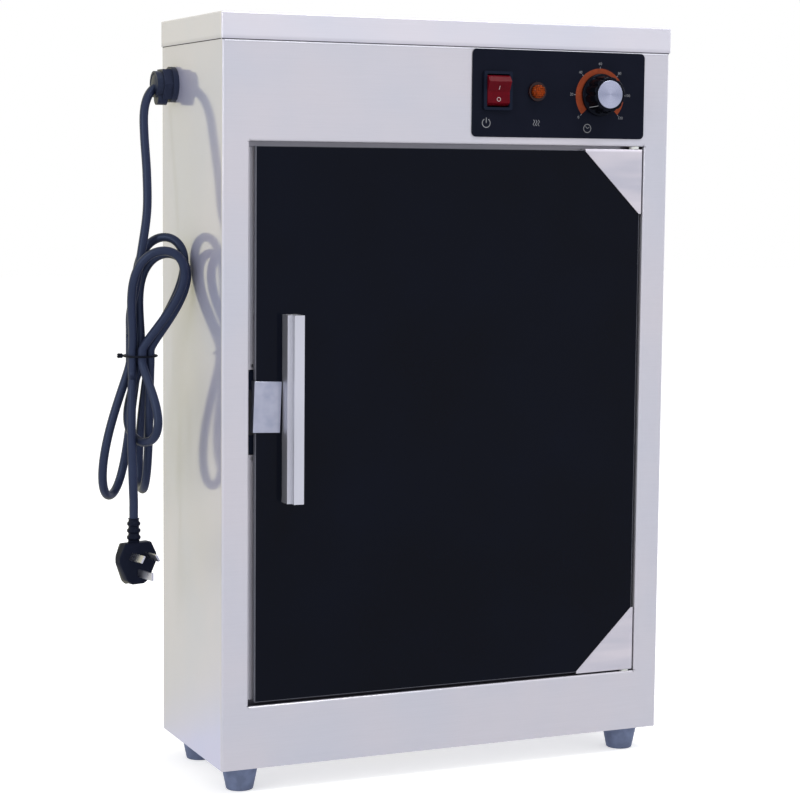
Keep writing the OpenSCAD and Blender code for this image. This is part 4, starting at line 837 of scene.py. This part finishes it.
    def add_floor(self, setup):
        """A square floor just under the feet, as a grid of points at one height."""
        half = setup.floor / 2
        side = np.linspace(-half, half, 9)
        x, y = np.meshgrid(side, side)
        grid = np.stack([x, y, np.full_like(x, -0.1 * MM)], axis=-1)
        points, faces = lofted(grid, around=False, caps=False)
        mesh = bpy.data.meshes.new("floor")
        mesh.from_pydata(points.tolist(), [], faces)
        mesh.materials.append(self.floor_material())
        floor = bpy.data.objects.new("floor", mesh)
        bpy.context.scene.collection.objects.link(floor)

    def add_lamp(self, name, place, size, power):
        """A soft lamp of width and height that looks at the middle of the cabinet."""
        data = bpy.data.lights.new(name, "AREA")
        data.shape = "RECTANGLE"
        data.size, data.size_y = size
        data.energy = power
        lamp = bpy.data.objects.new(name, data)
        aim = Vector((0.0, 0.0, 0.32)) - Vector(place)
        lamp.matrix_world = Matrix.Translation(place) @ aim.to_track_quat("-Z", "Y").to_matrix().to_4x4()
        bpy.context.scene.collection.objects.link(lamp)

    def execute(self, context):
        setup = context.scene.cabinet_studio
        context.scene.view_settings.view_transform = "Standard"
        self.add_camera(setup)
        self.add_world(setup)
        self.add_floor(setup)
        self.add_lamp("key_lamp", (0.6, -1.0, 2.5), (0.9, 0.7), setup.key)
        self.add_lamp("fill_lamp", (-2.2, -1.1, 1.2), (0.3, 1.6), setup.fill)
        self.add_lamp("rim_lamp", (2.0, 0.1, 1.4), (0.25, 1.2), setup.rim)
        return {"FINISHED"}


class STERILIZER_OT_cord(bpy.types.Operator):
    """Lay the supply cord from the gland through the tied hank to the plug"""

    bl_idname = "sterilizer.cord"
    bl_label = "Supply cord"

    def execute(self, context):
        sizes = context.scene.cabinet_cord
        points = cord_route(sizes.diameter)
        curve = bpy.data.curves.new("supply_cord", "CURVE")
        curve.dimensions = "3D"
        curve.bevel_depth = sizes.diameter / 2
        curve.bevel_resolution = 6
        curve.use_fill_caps = True
        spline = curve.splines.new("POLY")
        spline.points.add(len(points) - 1)
        spline.points.foreach_set("co", np.column_stack([points, np.ones(len(points))]).ravel())
        curve.materials.append(finish("cord_black"))
        cord = bpy.data.objects.new("supply_cord", curve)
        context.scene.collection.objects.link(cord)
        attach(cord, "cabinet")
        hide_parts("cord_drop", "cord_hank", "cord_tail")
        return {"FINISHED"}


class STERILIZER_OT_tie(bpy.types.Operator):
    """Wind the wire tie round the hank and twist its ends together"""

    bl_idname = "sterilizer.tie"
    bl_label = "Wire tie"

    twists = 1.5
    tail = 3.5 * MM
    tail_turn = math.radians(163.0)

    def wire(self, sizes):
        """Centreline: a helix of the two ends round each other, once round the strands, and back."""
        ring = PITCH + sizes.diameter / 2 + sizes.wire / 2 + 0.2 * MM
        turn = np.linspace(0.12, TAU - 0.12, 90) + self.tail_turn
        loop = WAIST + ring * np.stack([np.cos(turn), np.sin(turn), 0 * turn], axis=1)
        away = np.array((math.cos(self.tail_turn), math.sin(self.tail_turn), 0.0))
        side = np.cross(UP, away)
        t = np.linspace(0.0, 1.0, 60)
        angle = t * TAU * self.twists
        reach = (ring + 1.2 * MM + t * self.tail)[:, None] * away
        half = 0.55 * sizes.wire
        end = WAIST + reach + half * (np.cos(angle)[:, None] * side + np.sin(angle)[:, None] * UP)
        other = WAIST + reach - half * (np.cos(angle)[:, None] * side + np.sin(angle)[:, None] * UP)
        return np.vstack([end[::-1], loop, other])

    def execute(self, context):
        sizes = context.scene.cabinet_cord
        part = swept(self.wire(sizes), sizes.wire / 2 * 0.9, 10)
        piece("wire_tie", part, "cabinet", finish("tie_black"), ("cord_tie",))
        return {"FINISHED"}


class STERILIZER_OT_plug(bpy.types.Operator):
    """Shape the moulded plug with its ribbed strain relief"""

    bl_idname = "sterilizer.plug"
    bl_label = "Mains plug"

    corners = np.array(((-12.2, 0), (12.2, 0), (17.5, -10.5), (17.5, -16), (10, -31), (5.8, -34),
                        (-5.8, -34), (-10, -31), (-17.5, -16), (-17.5, -10.5))) * MM
    # Each row of the body: depth, width share, drop of the outline, and how far the edge is drawn in
    rows = np.array(((-8.5, 0.74, -1.5, 1.3), (-8.2, 0.74, -1.5, 0.6), (-7.5, 0.74, -1.5, 0.1),
                     (-6.5, 0.74, -1.5, 0.0), (0.0, 1.0, 0.0, 0.0), (0.7, 1.0, 0.0, 0.0),
                     (6.6, 1.0, 0.0, 0.0), (7.2, 1.0, 0.0, 0.3), (7.4, 1.0, 0.0, 0.9)))
    relief = 19.0 * MM
    rib_pitch = 5.6 * MM
    rib_depth = 1.1 * MM
    turn = math.radians(-75.0)

    def placed(self, points):
        """Plug coordinates (towards the pins, across, up) in the shared frame."""
        ahead = np.array((math.cos(self.turn), math.sin(self.turn), 0.0))
        side = np.array((-math.sin(self.turn), math.cos(self.turn), 0.0))
        return (PLUG_TOP + points[..., 0, None] * ahead + points[..., 1, None] * side
                + points[..., 2, None] * UP)

    def outline(self, count=120, blur=3):
        """The corners as an even closed line, rounded by a running mean of its points."""
        closed = np.vstack([self.corners, self.corners[:1]])
        run = np.concatenate([[0], np.cumsum(np.linalg.norm(np.diff(closed, axis=0), axis=1))])
        at = np.linspace(0, run[-1], count, endpoint=False)
        line = np.stack([np.interp(at, run, closed[:, k]) for k in range(2)], axis=1)
        return sum(np.roll(line, k - blur // 2, axis=0) for k in range(blur)) / blur

    def body(self):
        """Rows of the outline from the back of the plug to the face with the pins."""
        line = self.outline()
        depth, share, drop, inset = self.rows.T[..., None]
        centre = line.mean(axis=0)
        shrink = 1 - inset / 16.0
        across = (line[None, :, 0] - centre[0]) * shrink * share
        up = (line[None, :, 1] - centre[1]) * shrink + centre[1] + drop * MM - self.relief
        return np.stack([np.broadcast_to(depth * MM, across.shape), across, up], axis=-1)

    def strain_relief(self):
        """A sleeve round the cord whose radius swells three times."""
        z = np.linspace(-0.05 * MM, -self.relief - 1 * MM, 80)
        wave = np.clip(1.5 * np.cos((z + 4.3 * MM) * TAU / self.rib_pitch), -1, 1)
        radius = 4.2 * MM + self.rib_depth * (wave + 1) / 2 - 0.02 * z
        angle = np.linspace(0, TAU, 48, endpoint=False)
        grid = np.empty((len(z), len(angle), 3))
        grid[..., 0] = radius[:, None] * np.cos(angle)
        grid[..., 1] = radius[:, None] * np.sin(angle)
        grid[..., 2] = z[:, None]
        return grid

    def seal(self):
        """Rubber seal in the mouth of the gland: a dome turned about the gland's axis."""
        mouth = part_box("gland_body")[0].x
        profile = np.array(((9.3, 0.4), (9.0, -0.6), (7.5, -1.4), (5.0, -1.9), (1.0, -2.1))) * MM
        centre = (mouth + 1.6 * MM, GLAND[1], GLAND[2])
        return revolved(profile, centre, (1.0, 0.0, 0.0), 64)

    def execute(self, context):
        grids = [self.body(), self.strain_relief()]
        part = joined([lofted(self.placed(grid)) for grid in grids])
        plug = piece("mains_plug", part, "cabinet", finish("plug_black"),
                     ("plug_body",), sharp=28.0)
        dress("plug_pins", "gland_body", "gland_locknut", "inner_lead")
        ease_edges("plug_pins", 0.3 * MM)
        ease_edges("gland_body", 0.7 * MM, 3)
        seal = piece("gland_seal", self.seal(), "cabinet", finish("gland_black"))
        return {"FINISHED"}


class STERILIZER_OT_cabinet(bpy.types.Operator):
    """Finish the folded body, lid, back, base and shelf, and the rubber feet"""

    bl_idname = "sterilizer.cabinet"
    bl_label = "Cabinet and feet"

    seam_r = 0.65 * MM
    seam_inset = 0.45 * MM
    seam_drop = 0.1 * MM
    bead_r = 0.6 * MM
    bead_drop = 1.25 * MM
    corner_r = 2.0 * MM

    def execute(self, context):
        dress("back_panel", "base_pan", "control_shelf", "rubber_feet", "foot_screws")
        dress("wrapper", like="body_steel")
        dress("top_cover", like="lid_steel")
        ease_edges("rubber_feet", 0.8 * MM, 3)
        piece("lid_shade_seam", self.seam(), "cabinet", finish("painted_shade_seam"))
        piece("front_highlight_bead", self.bead(), "cabinet", finish("painted_highlight_bead"))
        return {"FINISHED"}

    def line(self, corners, radius):
        """A round bead along the straight runs between corners."""
        stops = np.arange(len(corners))
        run = np.linspace(0, stops[-1], 30 * stops[-1] + 1)
        path = np.stack([np.interp(run, stops, axis) for axis in np.transpose(corners)], axis=1)
        return swept(path, radius, 12)

    def seam(self):
        """A dark bead along the left side, the front and the right that stands for the shade in the gap
        under the lid: painted shade.
        """
        low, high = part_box("wrapper")
        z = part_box("top_cover")[0].z - self.seam_drop
        x, y = high.x - self.seam_inset, low.y + self.seam_inset
        return self.line(((-x, high.y, z), (-x, y, z), (x, y, z), (x, high.y, z)), self.seam_r)

    def bead(self):
        """A bright bead just under the joint that stands for the light on the front sheet's fold: a
        painted highlight.
        """
        low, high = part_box("wrapper")
        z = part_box("top_cover")[0].z - self.bead_drop
        x, y = high.x - self.corner_r, low.y + self.bead_r / 4
        return self.line(((-x, y, z), (x, y, z)), self.bead_r)


class STERILIZER_OT_door(bpy.types.Operator):
    """Finish the glass door with its shoes, pivots, handle, clip and catch"""

    bl_idname = "sterilizer.door"
    bl_label = "Glass door"

    eased = {"top_shoe": 0.2, "bottom_shoe": 0.2, "door_handle": 0.35,
             "catch_clip": 0.5, "catch_body": 0.5}

    def execute(self, context):
        dress("door_glass", "bottom_shoe", "top_pivot_pin", "bottom_pivot_pin",
              "top_bush", "bottom_bush", "door_handle", "handle_screws", "handle_washers",
              "catch_body", "catch_magnet", "catch_screws", "interlock_switch", "interlock_plunger")
        dress("top_shoe", like="shoe_painted_highlight")
        dress("catch_clip", like="clip_steel")
        for node, width in self.eased.items():
            ease_edges(node, width * MM)
        return {"FINISHED"}


class STERILIZER_OT_dial(bpy.types.Operator):
    """Finish the control plate and print the scale and the symbols on it"""

    bl_idname = "sterilizer.dial"
    bl_label = "Control plate and print"

    film = 0.06 * MM
    line = 0.5 * MM
    zero = math.radians(222.0)
    sweep = math.radians(-264.0)

    def execute(self, context):
        sizes, tone = context.scene.cabinet_dial, context.scene.cabinet_colours
        dress("control_plate")
        ease_edges("control_plate", 0.25 * MM)
        front = front_of("control_plate") - self.film
        centre = middle("knob_cap")[[0, 2]] - np.array((0, sizes.drop))
        band = arc_slab(centre, sizes.band_inner, sizes.band_outer, self.zero, self.zero + self.sweep,
                        front, self.film)
        piece("dial_band", band, "cabinet", printed("band_print", tone.band))
        marks = []
        for k in range(sizes.numbers):
            turn = self.zero + self.sweep * k / (sizes.numbers - 1)
            ray = np.array((math.cos(turn), math.sin(turn)))
            marks.append(stroke(centre + sizes.band_outer * ray, centre + sizes.tick_end * ray,
                                self.line, front, self.film))
            marks.append(number_part(str(sizes.step * k), sizes.number_height,
                                     centre + sizes.number_radius * ray, front, self.film))
        switch, lamp = middle("switch_housing")[[0, 2]], middle("indicator_lens")[[0, 2]]
        marks += self.power_sign(switch + np.array((-9.7, -26.3)) * MM, front)
        marks += self.heat_sign(lamp + np.array((0.0, -25.5)) * MM, front)
        marks += self.clock_sign(centre + np.array((-11.3, -26.8)) * MM, front)
        piece("panel_print", joined(marks), "cabinet", printed("ink_print", tone.ink))
        return {"FINISHED"}

    def power_sign(self, place, front, radius=3.9 * MM):
        """An open ring with an upright stroke."""
        ring = arc_slab(place, radius - 0.7 * MM, radius, math.radians(120), math.radians(420), front,
                        self.film)
        return [ring, stroke(place, place + np.array((0, radius + 0.5 * MM)), 0.7 * MM, front, self.film)]

    def clock_sign(self, place, front, radius=3.7 * MM):
        """A ring with two hands."""
        ring = arc_slab(place, radius - 0.6 * MM, radius, 0.0, TAU * 0.999, front, self.film)
        hands = [stroke(place, place + np.array(tip) * MM, self.line, front, self.film)
                 for tip in ((-1.6, 1.5), (1.9, 0.9))]
        return [ring, *hands]

    def heat_sign(self, place, front, height=5.0 * MM):
        """Three wavy lines side by side."""
        z = np.linspace(-height / 2, height / 2, 24)
        wave = 0.6 * MM * np.sin(z / height * TAU * 1.25)
        half = 0.3 * MM
        lines = []
        for shift in (-2.2 * MM, 0.0, 2.2 * MM):
            left = np.column_stack([place[0] + shift + wave - half, place[1] + z])
            right = np.column_stack([place[0] + shift + wave + half, place[1] + z])
            at = np.array((front, front + self.film))
            grid = np.empty((len(z), 4, 3))
            grid[..., 0] = np.stack([left[:, 0], right[:, 0], right[:, 0], left[:, 0]], axis=1)
            grid[..., 1] = at[[0, 0, 1, 1]]
            grid[..., 2] = left[:, 1, None]
            lines.append(lofted(grid))
        return lines


class STERILIZER_OT_switch(bpy.types.Operator):
    """Finish the rocker switch and the pilot lamp, and mark the rocker"""

    bl_idname = "sterilizer.switch"
    bl_label = "Switch and lamp"

    rise = 0.06 * MM

    def on_rocker(self, part, face_tilt):
        """Marks drawn before the rocker's pivot, tipped onto one half of its face and then with it."""
        points, faces = part
        pivot = middle("switch_housing")
        pivot[1] = self.pivot_y
        tilt = math.radians(face_tilt) + joint_range("rocker_tilt")[1] / 2
        turn = np.array(Matrix.Rotation(tilt, 3, "X"))
        return pivot + (points + np.array((0, -3.8 * MM, 0))) @ turn.T, faces

    def execute(self, context):
        dress("switch_housing", "switch_rocker", "indicator_body", "indicator_lens")
        ease_edges("switch_housing", 0.4 * MM)
        ease_edges("switch_rocker", 0.5 * MM, 3)
        ease_edges("indicator_body", 0.4 * MM)
        ease_edges("indicator_lens", 0.6 * MM, 3)
        self.pivot_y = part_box("wrapper")[0].y
        bar = stroke((0, 2.8 * MM), (0, 6.0 * MM), 0.5 * MM, -self.rise, 0.2 * MM)
        ring = arc_slab((0, -7.2 * MM), 1.3 * MM, 1.75 * MM, 0.0, TAU * 0.999, -self.rise, 0.2 * MM)
        slope = math.degrees(math.atan2(2.2, 8.8))
        marks = joined([self.on_rocker(bar, slope), self.on_rocker(ring, -slope)])
        piece("rocker_marks", marks, "rocker", printed("white_print", (0.50, 0.38, 0.40)))
        return {"FINISHED"}


class STERILIZER_OT_timer(bpy.types.Operator):
    """Shape the fluted timer knob with its skirt, pointer line and turned cap"""

    bl_idname = "sterilizer.timer"
    bl_label = "Timer knob"

    flutes = 12
    flute_depth = 1.1 * MM
    # Rows of the knob from the plate to the front: height, radius, and share of the flutes
    rows = np.array(((0.0, 16.6, 0), (0.1, 17.2, 0), (0.4, 17.5, 0), (1.6, 17.5, 0), (2.1, 17.4, 0),
                     (2.55, 17.1, 0), (2.85, 16.7, 0), (3.0, 16.2, 0), (3.05, 15.8, 0.1),
                     (3.4, 15.6, 0.4), (4.2, 15.5, 1), (9.0, 15.0, 1),
                     (15.2, 14.45, 1), (16.2, 14.2, 0.9), (16.8, 13.8, 0.6), (17.0, 13.2, 0.2),
                     (17.0, 12.0, 0), (16.6, 11.8, 0), (16.4, 9.0, 0)))

    def knob(self, base, centre):
        """Radius = row radius - flute depth * share * (cosine of the flutes, sharpened)."""
        height, radius, share = self.rows.T
        angle = np.linspace(0, TAU, 288, endpoint=False)
        groove = np.clip(np.cos(angle * self.flutes), 0, 1) ** 1.5
        reach = radius[:, None] * MM - share[:, None] * self.flute_depth * groove
        grid = np.empty((*reach.shape, 3))
        grid[..., 0] = centre[0] + reach * np.cos(angle)
        grid[..., 1] = base - height[:, None] * MM
        grid[..., 2] = centre[2] + reach * np.sin(angle)
        return lofted(grid)

    def pointer(self, base, centre, turn, width=0.55 * MM):
        """A raised line along the flank of the knob, at the zero mark."""
        line = np.array(((15.85, 3.4), (15.55, 6.0), (15.1, 10.6), (14.6, 15.2), (14.3, 16.3))) * MM
        ray = np.array((math.cos(turn), 0.0, math.sin(turn)))
        side = np.array((-math.sin(turn), 0.0, math.cos(turn))) * width / 2
        forward = np.array((0.0, -1.0, 0.0))
        outer = np.array((centre[0], base, centre[2])) + line[:, :1] * ray + line[:, 1:] * forward
        sunk = outer - 0.5 * MM * ray + 0.2 * MM * -forward
        grid = np.stack([outer - side, outer + side, sunk + side, sunk - side], axis=1)
        return lofted(grid)

    def execute(self, context):
        dress("timer_body", "timer_nut", "timer_shaft")
        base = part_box("timer_knob")[1].y
        centre = middle("knob_cap")
        piece("fluted_knob", self.knob(base, centre), "timer", finish("knob_black"),
              ("timer_knob",), sharp=50.0)
        piece("knob_pointer", self.pointer(base, centre, STERILIZER_OT_dial.zero), "timer",
              printed("pointer_print", (0.30, 0.30, 0.32)))
        low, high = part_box("knob_cap")
        cap_r = (high.x - low.x) / 2
        face = np.array(((0.3, 0.02), (3.0, 0.02), (6.0, 0.04), (9.0, 0.07), (10.9, 0.1)))
        rim = np.array(((cap_r / MM - 0.25, 0.16), (cap_r / MM - 0.05, 0.34), (cap_r / MM, 0.55),
                        (cap_r / MM, (high.y - low.y) / MM)))
        profile = np.vstack([face, rim]) * MM
        cap = revolved(profile, (centre[0], low.y, centre[2]), (0.0, 1.0, 0.0))
        piece("turned_cap", cap, "timer", finish("cap_aluminium"), ("knob_cap",))
        return {"FINISHED"}


class STERILIZER_OT_screws(bpy.types.Operator):
    """Give the screws of the back panel, lid and rails domed heads with a cross recess"""

    bl_idname = "sterilizer.screws"
    bl_label = "Screw heads"

    head_r = 3.8 * MM
    head_h = 1.85 * MM
    groups = {"back_screws": 6, "cover_screws": 2, "rail_screws": 4}

    def head(self, place):
        """Domed disc on the +Y side of place: height = dome - recess, where the recess is a cross
        |x| < w or |z| < w that ends at two thirds of the radius."""
        share = np.concatenate([[0.02], np.linspace(0.06, 1.0, 24)])
        angle = np.linspace(0, TAU, 64, endpoint=False)
        r = np.outer(share, np.ones_like(angle)) * self.head_r
        x, z = r * np.cos(angle), r * np.sin(angle)
        dome = self.head_h * (1 - 0.55 * share[:, None] ** 2.4)
        arm = np.minimum(np.abs(x), np.abs(z)) / (0.62 * MM)
        inside = np.clip((1 - arm) * 3, 0, 1) * np.clip((0.66 - share[:, None]) * 8, 0, 1)
        y = dome - 1.2 * MM * inside
        y[-1] = 0.0
        return lofted(np.stack([place[0] + x, place[1] + y, place[2] + z], axis=-1))

    def centres(self, node, count):
        """Middle of each screw of a group, from the points of its back face."""
        mesh = frame["nodes"][node].data
        flat = np.empty(len(mesh.vertices) * 3)
        mesh.vertices.foreach_get("co", flat)
        points = flat.reshape(-1, 3)
        rear = points[points[:, 1] > points[:, 1].max() - 0.01 * MM]
        cell = np.unique(np.round(rear[:, [0, 2]] / (12 * MM)).astype(int), axis=0)
        found = []
        for x, z in cell:
            near = rear[np.hypot(rear[:, 0] - x * 12 * MM, rear[:, 2] - z * 12 * MM) < 14 * MM]
            box = (near.min(axis=0) + near.max(axis=0)) / 2
            if all(np.hypot(box[0] - f[0], box[2] - f[2]) > 6 * MM for f in found):
                found.append(box)
        if len(found) != count:
            raise RuntimeError(f"{node}: {len(found)} screws found, {count} expected")
        return found

    def execute(self, context):
        for node, count in self.groups.items():
            heads = [self.head(place - np.array((0, self.head_h, 0)))
                     for place in self.centres(node, count)]
            piece(node + "_heads", joined(heads), "cabinet", finish("screw_zinc"),
                  (node,), sharp=30.0)
        return {"FINISHED"}


class STERILIZER_OT_inside(bpy.types.Operator):
    """Finish the lamp, heater, knife rails and wiring behind the door"""

    bl_idname = "sterilizer.inside"
    bl_label = "Inner fittings"

    def execute(self, context):
        dress("uv_tube", "uv_tube_caps", "lamp_holders", "lamp_batten", "ballast", "starter",
              "heater_rod", "heater_brackets", "thermostat", "terminal_block", "knife_rails",
              "rail_magnets")
        ease_edges("knife_rails", 0.5 * MM)
        ease_edges("lamp_holders", 0.6 * MM)
        return {"FINISHED"}


OPERATORS = (
    STERILIZER_OT_stage, STERILIZER_OT_cord, STERILIZER_OT_tie, STERILIZER_OT_plug,
    STERILIZER_OT_cabinet, STERILIZER_OT_door, STERILIZER_OT_dial, STERILIZER_OT_switch,
    STERILIZER_OT_timer, STERILIZER_OT_screws, STERILIZER_OT_inside)
SETTINGS = {"cabinet_colours": FinishColours, "cabinet_dial": DialPrint, "cabinet_cord": SupplyCord,
            "cabinet_studio": StudioSetup}


class STERILIZER_PT_panel(bpy.types.Panel):
    """Lists the steps that dress the cabinet"""

    bl_label = "Knife sterilizer"
    bl_idname = "STERILIZER_PT_panel"
    bl_space_type = "VIEW_3D"
    bl_region_type = "UI"
    bl_category = "Cabinet"

    def draw(self, context):
        for step in OPERATORS:
            self.layout.operator(step.bl_idname)
        for setting, group in SETTINGS.items():
            box = self.layout.box()
            for name in group.__annotations__:
                box.prop(getattr(context.scene, setting), name)


def register():
    """Makes the settings, steps and panel known."""
    for group in SETTINGS.values():
        bpy.utils.register_class(group)
    for step in (*OPERATORS, STERILIZER_PT_panel):
        bpy.utils.register_class(step)
    for setting, group in SETTINGS.items():
        setattr(bpy.types.Scene, setting, PointerProperty(type=group))


def unregister():
    """Takes them back in the other order."""
    for setting in SETTINGS:
        delattr(bpy.types.Scene, setting)
    for step in reversed((*OPERATORS, STERILIZER_PT_panel)):
        bpy.utils.unregister_class(step)
    for group in reversed(SETTINGS.values()):
        bpy.utils.unregister_class(group)


def main():
    register()
    for step in OPERATORS:
        group, name = step.bl_idname.split(".")
        getattr(getattr(bpy.ops, group), name)()


if __name__ == "__main__":
    main()
